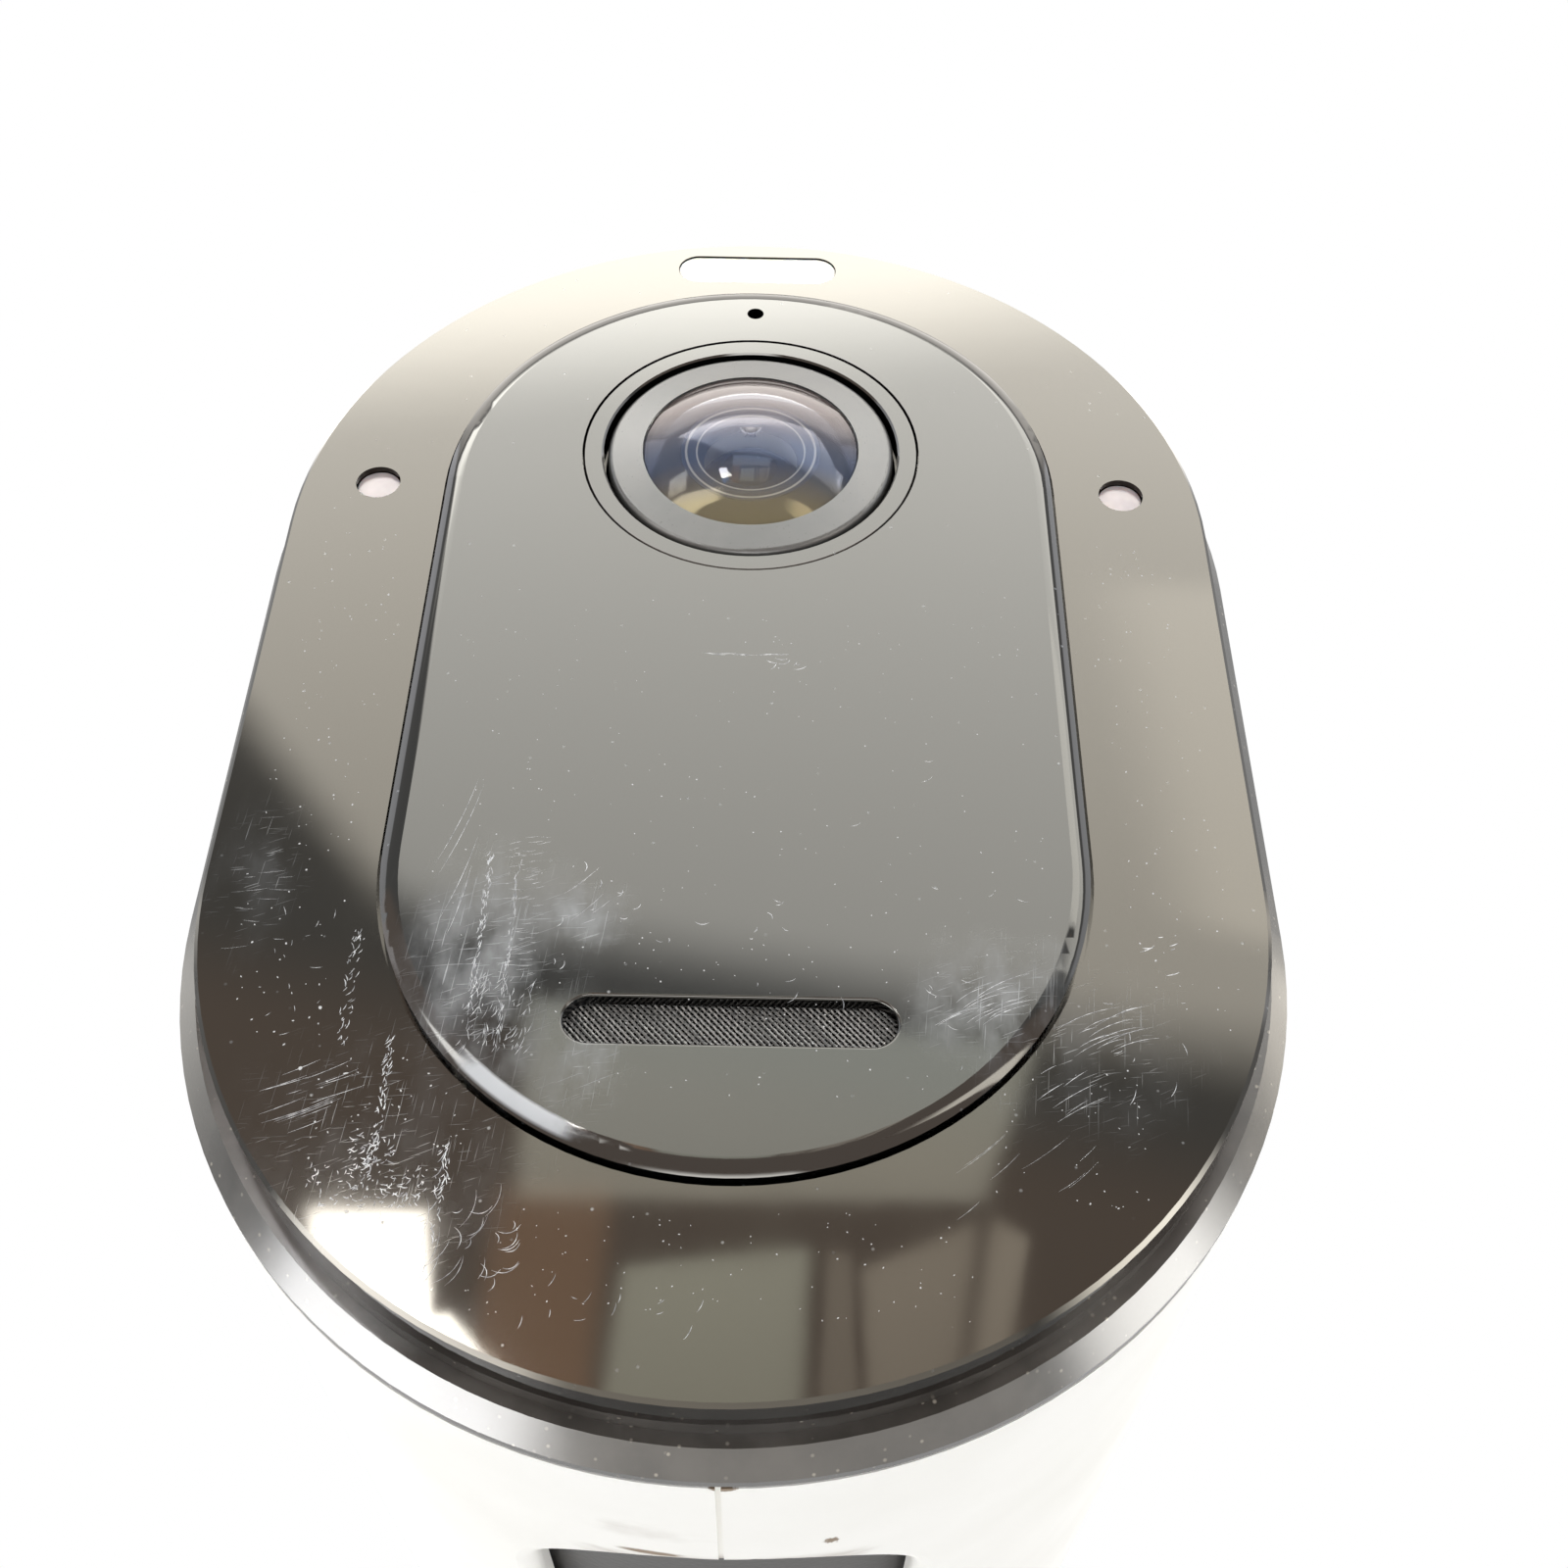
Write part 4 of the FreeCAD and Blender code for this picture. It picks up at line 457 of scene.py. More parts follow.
finishes = {
    "housing_white": housing_plastic(),
    "bezel_black": rim_plastic(),
    "lens_grey": lens_ring_plastic(),
    "lens_bright": retaining_ring(),
    "coated_glass": coated_cover_glass(),
    # Lens barrel: matt black, painted a warm grey as painted light for the haze seen through the glass in
    # front of it
    "lens_black": moulded("matt black lens barrel", "#3d3a33", "#4a463d", 0.5, 0.2, 0.01,
                          Specular_IOR_Level=0.25),
    # Filters: clear glass, and blue glass that stops infrared light
    "clear_glass": clear_part("clear optical glass", "#f2f6f5", 0.02, 1.52),
    "blue_glass": clear_part("infrared-stopping glass", "#8fc4d6", 0.02, 1.54, Coat_Weight=0.4),
    # Spotlight window: white, yellower at its edge; side windows: pinkish
    "window_white": window_plastic("milky spotlight window", "#fdfbf3", "#f3ebd4", 0.28),
    "window_pink": window_plastic("pinkish infrared window", "#cdbfbd", "#b3a4a6", 0.2),
    # Seal: silicone, matt grey with a faint sheen
    "seal_rubber": moulded("grey silicone", "#3b3b3b", "#444443", 0.7, 0.3, 0.01, Sheen_Weight=0.2),
    "mesh_black": woven_steel(),
    # Tray: glass-filled nylon, matt with a coarse grain; small carriers: acetal, smoother
    "tray_black": moulded("glass-filled black nylon", "#151514", "#201f1e", 0.5, 0.35, 0.02),
    "nylon_black": moulded("black acetal", "#1a1a1a", "#242424", 0.42, 0.3, 0.008),
    "board_green": circuit_board(),
    # Chips: moulded epoxy, matt dark grey
    "chip_black": moulded("moulded epoxy", "#0f1011", "#1a1b1c", 0.5, 0.12, 0.006),
    # Light sources: chalky yellow phosphor, and water-clear epoxy domes
    "led_yellow": moulded("yellow phosphor", "#e6cc4a", "#f1da6c", 0.6, 0.2, 0.01),
    "led_clear": clear_part("clear LED epoxy", "#e6e2f0", 0.05, 1.51),
    # Steel: rolled sheet is cool grey, tinned cans are brighter, springs are hard and bright
    "steel": worked_metal("zinc-plated steel", "#9b9d9f", "#84878a", 0.34, 0.25, (12, 1, 1)),
    "tin_steel": worked_metal("tinned steel", "#c3c5c4", "#acaeaf", 0.28, 0.2, (1, 1, 10)),
    "spring_steel": worked_metal("spring steel", "#8e9093", "#76797d", 0.24, 0.12, (1, 14, 1)),
    # Screws: blackened steel, dull with brighter turning lines
    "screw_black": worked_metal("blackened steel screw", "#3a3b3e", "#2a2b2e", 0.36, 0.1, (1, 6, 1)),
    # Heat spreader: brushed and anodised aluminium
    "aluminium": worked_metal("anodised aluminium", "#c6c8ca", "#b2b4b7", 0.34, 0.15, (1, 1, 16)),
    # Threaded insert: turned brass, warm, with fine rings
    "brass": worked_metal("turned brass", "#c09c50", "#a88440", 0.26, 0.08, (6, 1, 6)),
    "gold": worked_metal("hard gold plate", "#e0b860", "#cfa850", 0.2, 0.15, (1, 1, 3)),
    # Windings: enamelled copper, each turn a raised line
    "copper": worked_metal("enamelled copper wire", "#b0602f", "#8e4a22", 0.3, 0.1, (0.8, 8, 8), rise=0.04),
    "magnet_nickel": worked_metal("nickel plate", "#bdb9af", "#a9a59b", 0.2, 0.5, (1, 1, 1)),
    # Motion lens: moulded polythene, milky and waxy
    "polythene": moulded("milky polythene", "#e9e9e4", "#dededa", 0.42, 0.4, 0.01,
                         Subsurface_Weight=0.3, Subsurface_Scale=0.5 * MM),
    "cone_black": moulded("black paper cone", "#141414", "#1f1e1c", 0.85, 0.25, 0.03, Sheen_Weight=0.3),
    "flex_amber": moulded("amber polyimide", "#b06c1c", "#9a5a14", 0.22, 0.8, 0.004, Coat_Weight=0.5),
    "button_grey": moulded("grey soft-touch button", "#8c8c89", "#7e7e7b", 0.55, 0.25, 0.008),
    "button_white": moulded("white ABS button", "#f2f1ec", "#e8e7e1", 0.46, 0.22, 0.005),
    "battery_grey": moulded("dark grey polycarbonate", "#2a2b2d", "#343537", 0.42, 0.3, 0.012),
    "cell_wrap": moulded("blue shrink wrap", "#34506e", "#2b4560", 0.24, 1.5, 0.02, Coat_Weight=0.4),
}

# Places of the face that are handled most: middle and reach in millimetres
plate_worn = (((-15, plate_low.y, -26), (9, 9, 8)), ((16, plate_low.y, -21), (7, 9, 6)),
              ((-23, plate_low.y, -12), (3, 9, 6)))
panel_worn = (((-11.5, panel_low.y, -17.5), (5.5, 9, 9)), ((12, panel_low.y, -19), (5, 9, 5)),
              ((-7, panel_low.y, -14.5), (3, 9, 2.5)), ((-6.5, panel_low.y, -22.8), (2.6, 9, 3.2)))

# the panel's pale edge crescent is partly rubbing, partly painted highlight
panel_finish = polished_face("polished black panel", "#070707", "#fbfaf4", panel_worn, smeared=0.75,
                             edge_rub_and_highlight=panel_edge_rub_and_highlight)
own_finish = {
    "face_plate": polished_face("polished black acrylic", "#070605", "#fff8ea", plate_worn, smeared=0.12),
    "center_panel": panel_finish, "lens_trim_ring": panel_finish, "inner_lens": inner_glass()}
for name, piece in nodes.items():
    piece.data.materials.clear()
    piece.data.materials.append(own_finish.get(name) or finishes[slot_of[name]])


# Geometry Nodes helpers

def in_scene(name, data):
    """An object in the scene with this data."""
    thing = bpy.data.objects.new(name, data)
    scene.collection.objects.link(thing)
    return thing


def mesh_object(name, points, faces):
    """A mesh object in the scene, from its points and faces."""
    mesh = bpy.data.meshes.new(name)
    mesh.from_pydata(points, [], faces)
    return in_scene(name, mesh)


def new_tree(name, **inputs):
    """A geometry tree with named inputs. Gives the tree, its input node and its output node."""
    tree = bpy.data.node_groups.new(name, "GeometryNodeTree")
    tree.interface.new_socket("Geometry", in_out="INPUT", socket_type="NodeSocketGeometry")
    for label, kind in inputs.items():
        tree.interface.new_socket(label.replace("_", " "), in_out="INPUT", socket_type="NodeSocket" + kind)
    tree.interface.new_socket("Geometry", in_out="OUTPUT", socket_type="NodeSocketGeometry")
    return tree, add_node(tree, "NodeGroupInput").outputs, add_node(tree, "NodeGroupOutput")


def finish_tree(tree, given, result, geometry):
    """Ends a tree with real geometry that has the given material."""
    real = add_node(tree, "GeometryNodeRealizeInstances", {"Geometry": geometry})
    coated = add_node(tree, "GeometryNodeSetMaterial", {"Geometry": real, "Material": given["Material"]})
    tree.links.new(coated.outputs[0], result.inputs["Geometry"])
    return tree


def grown(name, start_points, start_faces, tree, **values):
    """A plain mesh object from a start mesh and a tree, with the tree's inputs set by name."""
    start = mesh_object(name, start_points, start_faces)
    modifier = start.modifiers.new(name, "NODES")
    modifier.node_group = tree
    for item in tree.interface.items_tree:
        label = item.name.replace(" ", "_")
        if item.in_out == "INPUT" and label in values:
            modifier[item.identifier] = values[label]
    evaluated = start.evaluated_get(bpy.context.evaluated_depsgraph_get())
    mesh = bpy.data.meshes.new_from_object(evaluated)
    bpy.data.objects.remove(start)
    return in_scene(name, mesh)


def joined(name, pieces):
    """One object from several, with one material each kept in order."""
    points, faces, slots, materials = [], [], [], []
    for piece in pieces:
        first = len(points)
        material = piece.data.materials[0]
        if material not in materials:
            materials.append(material)
        points += [vertex.co.copy() for vertex in piece.data.vertices]
        faces += [[first + index for index in face.vertices] for face in piece.data.polygons]
        slots += [materials.index(material)] * len(piece.data.polygons)
        bpy.data.objects.remove(piece)
    whole = mesh_object(name, points, faces)
    for material in materials:
        whole.data.materials.append(material)
    whole.data.polygons.foreach_set("material_index", slots)
    return whole


# Woven grille behind the speaker slot

WIRE_PITCH = 0.22         # the real cloth is about 0.19, drawn as coarse as it needs to show
WIRE_STEP = 0.12          # from one point of a wire to the next
WIRE_TURN = 48.0          # degrees down to the right
WIRE_REACH = 2.3          # of a wire before it is cut, in half lengths of the slot
WIRE_RADIUS = 0.07
CROSS_RADIUS = 0.03       # the wires that cross them are thinner and lie behind
CROSS_BEHIND = 0.08


def woven_tree():
    """Straight wires side by side that rise and fall over the wires that cross them, turned and cut
    to a pill outline. Each wire starts the other way about from its neighbour."""
    tree, given, result = new_tree(
        "woven wires", Pitch="Float", Radius="Float", Step="Float", Reach="Float", Turn="Float",
        Half_Length="Float", Half_Height="Float", Centre="Vector", Phase="Float", Material="Material")
    share = add_node(tree, "ShaderNodeMath", {0: given["Reach"], 1: given["Pitch"]}, operation="DIVIDE")
    count = add_node(tree, "ShaderNodeMath", {0: share}, operation="CEIL")
    back = add_node(tree, "ShaderNodeMath", {0: given["Reach"], 1: -0.5}, operation="MULTIPLY")
    ahead = add_node(tree, "ShaderNodeMath", {0: given["Reach"], 1: 0.5}, operation="MULTIPLY")
    rows = add_node(tree, "GeometryNodeMeshLine", {
        "Count": count, "Start Location": add_node(tree, "ShaderNodeCombineXYZ", {"Z": back}),
        "Offset": add_node(tree, "ShaderNodeCombineXYZ", {"Z": given["Pitch"]})})
    line = add_node(tree, "GeometryNodeCurvePrimitiveLine", {
        "Start": add_node(tree, "ShaderNodeCombineXYZ", {"X": back}),
        "End": add_node(tree, "ShaderNodeCombineXYZ", {"X": ahead})})
    stepped = add_node(tree, "GeometryNodeResampleCurve", {"Curve": line, "Length": given["Step"]},
                       mode="LENGTH")
    laid = add_node(tree, "GeometryNodeInstanceOnPoints", {"Points": rows, "Instance": stepped})
    wires = add_node(tree, "GeometryNodeRealizeInstances", {"Geometry": laid})

    place = add_node(tree, "ShaderNodeSeparateXYZ", {0: add_node(tree, "GeometryNodeInputPosition")})
    both = add_node(tree, "ShaderNodeMath", {0: place.outputs["X"], 1: place.outputs["Z"]}, operation="ADD")
    turns = add_node(tree, "ShaderNodeMath", {0: both, 1: given["Pitch"]}, operation="DIVIDE")
    shifted = add_node(tree, "ShaderNodeMath", {0: turns, 1: given["Phase"]}, operation="ADD")
    angle = add_node(tree, "ShaderNodeMath", {0: shifted, 1: math.pi}, operation="MULTIPLY")
    wave = add_node(tree, "ShaderNodeMath", {0: angle}, operation="SINE")
    reach = add_node(tree, "ShaderNodeMath", {0: given["Radius"], 1: 0.5}, operation="MULTIPLY")
    rise = add_node(tree, "ShaderNodeMath", {0: wave, 1: reach}, operation="MULTIPLY")
    bent = add_node(tree, "GeometryNodeSetPosition", {
        "Geometry": wires, "Offset": add_node(tree, "ShaderNodeCombineXYZ", {"Y": rise})})
    turned = add_node(tree, "GeometryNodeTransform", {
        "Geometry": bent, "Rotation": add_node(tree, "ShaderNodeCombineXYZ", {"Y": given["Turn"]})})

    spot = add_node(tree, "ShaderNodeSeparateXYZ", {0: add_node(tree, "GeometryNodeInputPosition")})
    run = add_node(tree, "ShaderNodeMath", {0: given["Half Length"], 1: given["Half Height"]},
                   operation="SUBTRACT")
    side = add_node(tree, "ShaderNodeMath", {0: spot.outputs["X"]}, operation="ABSOLUTE")
    past = add_node(tree, "ShaderNodeMath", {0: side, 1: run}, operation="SUBTRACT")
    beyond = add_node(tree, "ShaderNodeMath", {0: past, 1: 0.0}, operation="MAXIMUM")
    across = add_node(tree, "ShaderNodeCombineXYZ", {"X": beyond, "Z": spot.outputs["Z"]})
    away = add_node(tree, "ShaderNodeVectorMath", {0: across}, operation="LENGTH")
    outside = add_node(tree, "ShaderNodeMath", {0: away.outputs["Value"], 1: given["Half Height"]},
                       operation="GREATER_THAN")
    cut = add_node(tree, "GeometryNodeDeleteGeometry", {"Geometry": turned, "Selection": outside},
                   domain="POINT")
    profile = add_node(tree, "GeometryNodeCurvePrimitiveCircle", {
        "Resolution": 5, "Radius": given["Radius"]})
    tubes = add_node(tree, "GeometryNodeCurveToMesh", {
        "Curve": cut, "Profile Curve": profile, "Fill Caps": True})
    placed = add_node(tree, "GeometryNodeTransform", {"Geometry": tubes, "Translation": given["Centre"]})
    return finish_tree(tree, given, result, placed)


def make_woven_grille():
    middle = (slot_low + slot_high) / 2
    half_length = (slot_high.x - slot_low.x) / 2 - WIRE_RADIUS
    half_height = (slot_high.z - slot_low.z) / 2 - WIRE_RADIUS
    layer = Vector((middle.x, slot_low.y + 2 * WIRE_RADIUS, middle.z))
    tree = woven_tree()
    wires = []
    for turn, phase, radius, behind in ((0, 0.5, WIRE_RADIUS, 0), (90, 1.5, CROSS_RADIUS, CROSS_BEHIND)):
        wires.append(grown(
            "wires", [(0, 0, 0)], [], tree, Pitch=WIRE_PITCH * MM, Radius=radius * MM, Step=WIRE_STEP * MM,
            Reach=WIRE_REACH * half_length * MM, Turn=math.radians(WIRE_TURN + turn),
            Half_Length=half_length * MM, Half_Height=half_height * MM,
            Centre=(layer + Vector((0, behind, 0))) * MM, Phase=phase, Material=finishes["mesh_black"]))
    grille = joined("woven_grille", wires)
    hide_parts("speaker_mesh")
    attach(grille, "core")


# Wear: scratches and crumbs of dust on the face

def stroke_tree():
    """Slender strokes strewn over a patch, 0.35 to 1.5 times the given length, bowed, and thin at
    both ends."""
    tree, given, result = new_tree(
        "strokes", Density="Float", Length="Float", Width="Float", Depth="Float", Angle="Float",
        Spread="Float", Curl="Float", Seed="Int", Material="Material")
    strewn = add_node(tree, "GeometryNodeDistributePointsOnFaces", {
        "Mesh": given["Geometry"], "Density": given["Density"], "Seed": given["Seed"]})
    line = add_node(tree, "GeometryNodeCurvePrimitiveLine", {"Start": (-0.5, 0, 0), "End": (0.5, 0, 0)})
    stepped = add_node(tree, "GeometryNodeResampleCurve", {"Curve": line, "Count": 7})
    place = add_node(tree, "ShaderNodeSeparateXYZ", {0: add_node(tree, "GeometryNodeInputPosition")})
    square = add_node(tree, "ShaderNodeMath", {0: place.outputs["X"], 1: place.outputs["X"]},
                      operation="MULTIPLY")
    bow = add_node(tree, "ShaderNodeMath", {0: square, 1: given["Curl"]}, operation="MULTIPLY")
    bowed = add_node(tree, "GeometryNodeSetPosition", {
        "Geometry": stepped, "Offset": add_node(tree, "ShaderNodeCombineXYZ", {"Z": bow})})
    longer = add_node(tree, "FunctionNodeRandomValue", {2: 0.35, 3: 1.5, "Seed": 11}, data_type="FLOAT")
    length = add_node(tree, "ShaderNodeMath", {0: longer.outputs[1], 1: given["Length"]},
                      operation="MULTIPLY")
    swing = add_node(tree, "FunctionNodeRandomValue", {2: -1.0, 3: 1.0, "Seed": 23}, data_type="FLOAT")
    turn = add_node(tree, "ShaderNodeMath", {0: swing.outputs[1], 1: given["Spread"], 2: given["Angle"]},
                    operation="MULTIPLY_ADD")
    laid = add_node(tree, "GeometryNodeInstanceOnPoints", {
        "Points": strewn, "Instance": bowed,
        "Rotation": add_node(tree, "ShaderNodeCombineXYZ", {"Y": turn}),
        "Scale": add_node(tree, "ShaderNodeCombineXYZ", {"X": length, "Y": length, "Z": length})})
    real = add_node(tree, "GeometryNodeRealizeInstances", {"Geometry": laid})
    half = add_node(tree, "ShaderNodeMath", {0: given["Width"], 1: 0.5}, operation="MULTIPLY")
    profile = add_node(tree, "GeometryNodeCurvePrimitiveQuadrilateral", {
        "Width": given["Depth"], "Bottom Height": half, "Top Height": half}, mode="KITE")
    along = add_node(tree, "GeometryNodeSplineParameter")
    part = add_node(tree, "ShaderNodeMath", {
        0: along.outputs["Factor"], 1: math.pi * 0.9, 2: math.pi * 0.05}, operation="MULTIPLY_ADD")
    taper = add_node(tree, "ShaderNodeMath", {0: part}, operation="SINE")
    tubes = add_node(tree, "GeometryNodeCurveToMesh", {
        "Curve": real, "Profile Curve": profile, "Scale": taper, "Fill Caps": True})
    return finish_tree(tree, given, result, tubes)


def crumb_tree():
    """Small uneven crumbs strewn over a patch, 0.3 to 1.8 times the given size."""
    tree, given, result = new_tree(
        "crumbs", Density="Float", Size="Float", Seed="Int", Material="Material")
    strewn = add_node(tree, "GeometryNodeDistributePointsOnFaces", {
        "Mesh": given["Geometry"], "Density": given["Density"], "Seed": given["Seed"]})
    crumb = add_node(tree, "GeometryNodeMeshIcoSphere", {"Radius": given["Size"], "Subdivisions": 1})
    scale = add_node(tree, "FunctionNodeRandomValue", {0: (0.4, 0.3, 0.4), 1: (1.8, 0.6, 1.3), "Seed": 5},
                     data_type="FLOAT_VECTOR")
    turn = add_node(tree, "FunctionNodeRandomValue", {3: 2 * math.pi, "Seed": 7}, data_type="FLOAT")
    laid = add_node(tree, "GeometryNodeInstanceOnPoints", {
        "Points": strewn, "Instance": crumb, "Scale": scale.outputs[0],
        "Rotation": add_node(tree, "ShaderNodeCombineXYZ", {"Y": turn.outputs[1]})})
    return finish_tree(tree, given, result, laid)


def patch_corners(x, z, across, tall, y):
    """Four corners of an upright patch about x and z, in metres."""
    return [((x + side * across / 2) * MM, y * MM, (z + rise * tall / 2) * MM)
            for side, rise in ((-1, -1), (1, -1), (1, 1), (-1, 1))]


STROKE_DEPTH = 0.02

# Strokes on the plate and on the panel: x, z, across, tall, count, length, width, angle up to the
# right, spread and curl, in millimetres and degrees
PLATE_STROKES = (
    (-18.4, -24.2, 2.8, 3.2, 16, 2.0, 0.025, 24, 4, 0.05),
    (-17.6, -18.5, 0.6, 6.5, 60, 0.28, 0.035, 75, 40, 0.3),
    (-15.3, -24.0, 0.4, 6.5, 70, 0.28, 0.045, 80, 40, 0.3),
    (-15.4, -26.6, 2.0, 1.6, 60, 0.24, 0.045, 40, 80, 0.3),
    (-16.6, -27.9, 2.8, 1.1, 45, 0.22, 0.04, 40, 80, 0.3),
    (-13.9, -28.2, 2.2, 1.6, 50, 0.24, 0.04, 40, 80, 0.3),
    (-15.2, -28.9, 4.4, 0.7, 40, 0.2, 0.04, 20, 80, 0.3),
    (-12.2, -28.5, 0.5, 4.5, 46, 0.35, 0.04, 80, 40, 0.3),
    (-10.9, -30.6, 3.6, 4.4, 14, 1.5, 0.022, 66, 24, 0.5),
    (-9.6, -31.2, 3.6, 3.6, 16, 0.8, 0.035, 60, 50, 0.9),
    (-22.6, -13.5, 2.2, 6.0, 10, 0.9, 0.015, 3, 8, 0.1),
    (-20.6, -17.5, 3.6, 7.0, 14, 0.4, 0.025, 60, 60, 0.2),
    (-4.5, -33.6, 9.0, 2.4, 12, 0.6, 0.03, 45, 70, 0.3),
    (17.6, -19.7, 3.0, 1.8, 11, 2.4, 0.03, 22, 4, -0.25),
    (15.0, -23.0, 2.6, 2.0, 6, 2.2, 0.03, 33, 4, -0.1),
    (20.2, -15.8, 1.6, 2.2, 6, 0.6, 0.05, 10, 20, 0.2),
    (12.8, -27.2, 6.0, 4.0, 8, 2.2, 0.015, 40, 8, 0.1),
    (19.0, -21.0, 4.0, 7.0, 8, 0.6, 0.03, 50, 60, 0.3),
)
PANEL_STROKES = (
    (-11.8, -15.5, 0.3, 9.0, 90, 0.35, 0.035, 84, 30, 0.2),
    (-10.4, -16.0, 0.2, 10.0, 60, 0.4, 0.025, 86, 20, 0.1),
    (-13.2, -12.0, 0.6, 7.0, 4, 4.4, 0.025, 77, 4, 0.1),
    (-10.0, -14.0, 1.6, 8.0, 60, 0.6, 0.018, 8, 14, 0.1),
    (-10.6, -19.9, 3.2, 4.0, 110, 0.5, 0.025, 75, 40, 0.2),
    (-7.2, -13.5, 2.4, 2.4, 5, 1.6, 0.02, 42, 6, 0.1),
    (-3.0, -14.5, 11.0, 6.0, 18, 0.45, 0.04, 45, 90, 0.8),
    (0.4, 2.0, 4.2, 0.12, 12, 0.9, 0.03, 0, 4, 0.0),
    (2.6, 1.4, 2.4, 0.9, 9, 0.5, 0.045, 20, 50, 0.5),
    (11.3, -19.0, 2.4, 2.2, 12, 2.2, 0.03, 28, 5, -0.25),
    (6.0, -20.0, 10.0, 5.0, 9, 0.6, 0.03, 40, 90, 0.5),
    (8.0, -10.0, 12.0, 12.0, 8, 0.5, 0.025, 30, 90, 0.5),
)

# Crumbs of dust on the plate and on the panel: x, z, across, tall, count and size in millimetres
PLATE_CRUMBS = (
    (-21.0, -5.0, 5.0, 32.0, 110, 0.04),
    (21.0, -5.0, 5.0, 32.0, 90, 0.04),
    (0.0, -31.5, 22.0, 5.0, 90, 0.034),
    (-15.0, -25.5, 7.0, 7.0, 60, 0.04),
    (15.0, -25.5, 7.0, 7.0, 40, 0.036),
    (-19.0, -21.0, 5.0, 5.0, 4, 0.09),
)
PANEL_CRUMBS = (
    (0.0, -5.0, 30.0, 23.0, 190, 0.034),
    (0.0, -20.0, 20.0, 8.0, 70, 0.034),
)


def on_faces(plate_rows, panel_rows):
    """The rows of both faces in one list, each with the y of its face in front."""
    return [(plate_low.y, *row) for row in plate_rows] + [(panel_low.y, *row) for row in panel_rows]


def make_face_wear():
    strokes, crumbs = stroke_tree(), crumb_tree()
    torn, dust = torn_plastic(), household_dust()
    pieces = []
    for seed, row in enumerate(on_faces(PLATE_STROKES, PANEL_STROKES)):
        y, x, z, across, tall, count, length, width, angle, spread, curl = row
        pieces.append(grown(
            "strokes", patch_corners(x, z, across, tall, y), [range(4)], strokes,
            Density=count / (across * tall * MM * MM), Length=length * MM, Width=width * MM,
            Depth=STROKE_DEPTH * MM, Angle=math.radians(-angle), Spread=math.radians(spread), Curl=curl,
            Seed=seed, Material=torn))
    for seed, (y, x, z, across, tall, count, size) in enumerate(on_faces(PLATE_CRUMBS, PANEL_CRUMBS)):
        pieces.append(grown(
            "crumbs", patch_corners(x, z, across, tall, y), [range(4)], crumbs,
            Density=count / (across * tall * MM * MM), Size=size * MM, Seed=seed, Material=dust))
    wear = joined("face_wear", pieces)
    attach(wear, "core")


make_woven_grille()
make_face_wear()


# Camera, from a perspective fit of the face's outlines

FOCAL = 1942.3 / 1600                        # focal length, in widths of the picture
TURN = (-0.659, -0.001, 0.018)               # about x, y and z, in radians
SHIFT = Vector((-2.161, -4.845, 98.943))     # right, down and ahead to the middle of the plate's front


def photographed_view():
    to_lens = Matrix(((1, 0, 0), (0, 0, -1), (0, 1, 0)))
    about_x, about_y, about_z = (Matrix.Rotation(angle, 3, axis) for angle, axis in zip(TURN, "XYZ"))
    view = about_z @ about_y @ about_x @ to_lens
    flip = Matrix(((1, 0, 0), (0, -1, 0), (0, 0, -1)))
    world = (flip @ view).transposed().to_4x4()
    world.translation = (Vector((0, plate_low.y, 0)) - view.transposed() @ SHIFT) * MM
    data = bpy.data.cameras.new("photographed view")
    data.sensor_width = 36.0
    data.sensor_fit = "HORIZONTAL"
    data.lens = FOCAL * data.sensor_width
    data.clip_start = 0.005
    camera = in_scene("photographed view", data)
    camera.matrix_world = world
    scene.camera = camera


# Light: a white surround at a plain level, a pale floor, and cards that only gloss or glass shows

LIGHT_LEVEL = 0.92        # just under white, so that the pale housing keeps its form
FLOOR_GAP = 0.2           # from the object down to the floor
FLOOR_REACH = 1200        # from the middle of the floor to its edges


def make_world():
    """White behind the object and soft even light round it."""
    world = bpy.data.worlds.new("white surround")
    world.use_nodes = True
    tree = world.node_tree
    tree.nodes.clear()
    path = add_node(tree, "ShaderNodeLightPath")
    backdrop = add_node(tree, "ShaderNodeBackground", {"Color": linear("#ffffff"), "Strength": 1.0})
    light = add_node(tree, "ShaderNodeBackground", {"Color": linear("#ffffff"), "Strength": LIGHT_LEVEL})
    seen = add_node(tree, "ShaderNodeMath", {
        0: path.outputs["Is Camera Ray"], 1: path.outputs["Is Glossy Ray"]}, operation="MAXIMUM")
    shown = add_node(tree, "ShaderNodeMath", {0: seen, 1: path.outputs["Is Transmission Ray"]},
                     operation="MAXIMUM")
    mixed = add_node(tree, "ShaderNodeMixShader", {0: shown, 1: light, 2: backdrop})
    add_node(tree, "ShaderNodeOutputWorld", {"Surface": mixed})
    scene.world = world


def make_floor():
    """A pale floor under the object. It is clear from below, where the photographed view looks
    from, and takes the object's shadow without darkening the object."""
    material, tree = new_material("pale floor")
    geometry = add_node(tree, "ShaderNodeNewGeometry")
    pale = add_node(tree, "ShaderNodeBsdfDiffuse", {"Color": linear("#f0f0ee")})
    clear = add_node(tree, "ShaderNodeBsdfTransparent")
    finish_material(material, add_node(tree, "ShaderNodeMixShader", {
        0: geometry.outputs["Backfacing"], 1: pale, 2: clear}))
    level = size_at_load[0].z - FLOOR_GAP * MM
    corners = ((-1, -1), (1, -1), (1, 1), (-1, 1))
    floor = mesh_object("pale floor", [
        (x * FLOOR_REACH * MM, y * FLOOR_REACH * MM, level) for x, y in corners], [range(4)])
    floor.data.materials.append(material)
    floor.visible_diffuse = False
    floor.visible_glossy = False
    floor.visible_transmission = False
    floor.visible_shadow = False


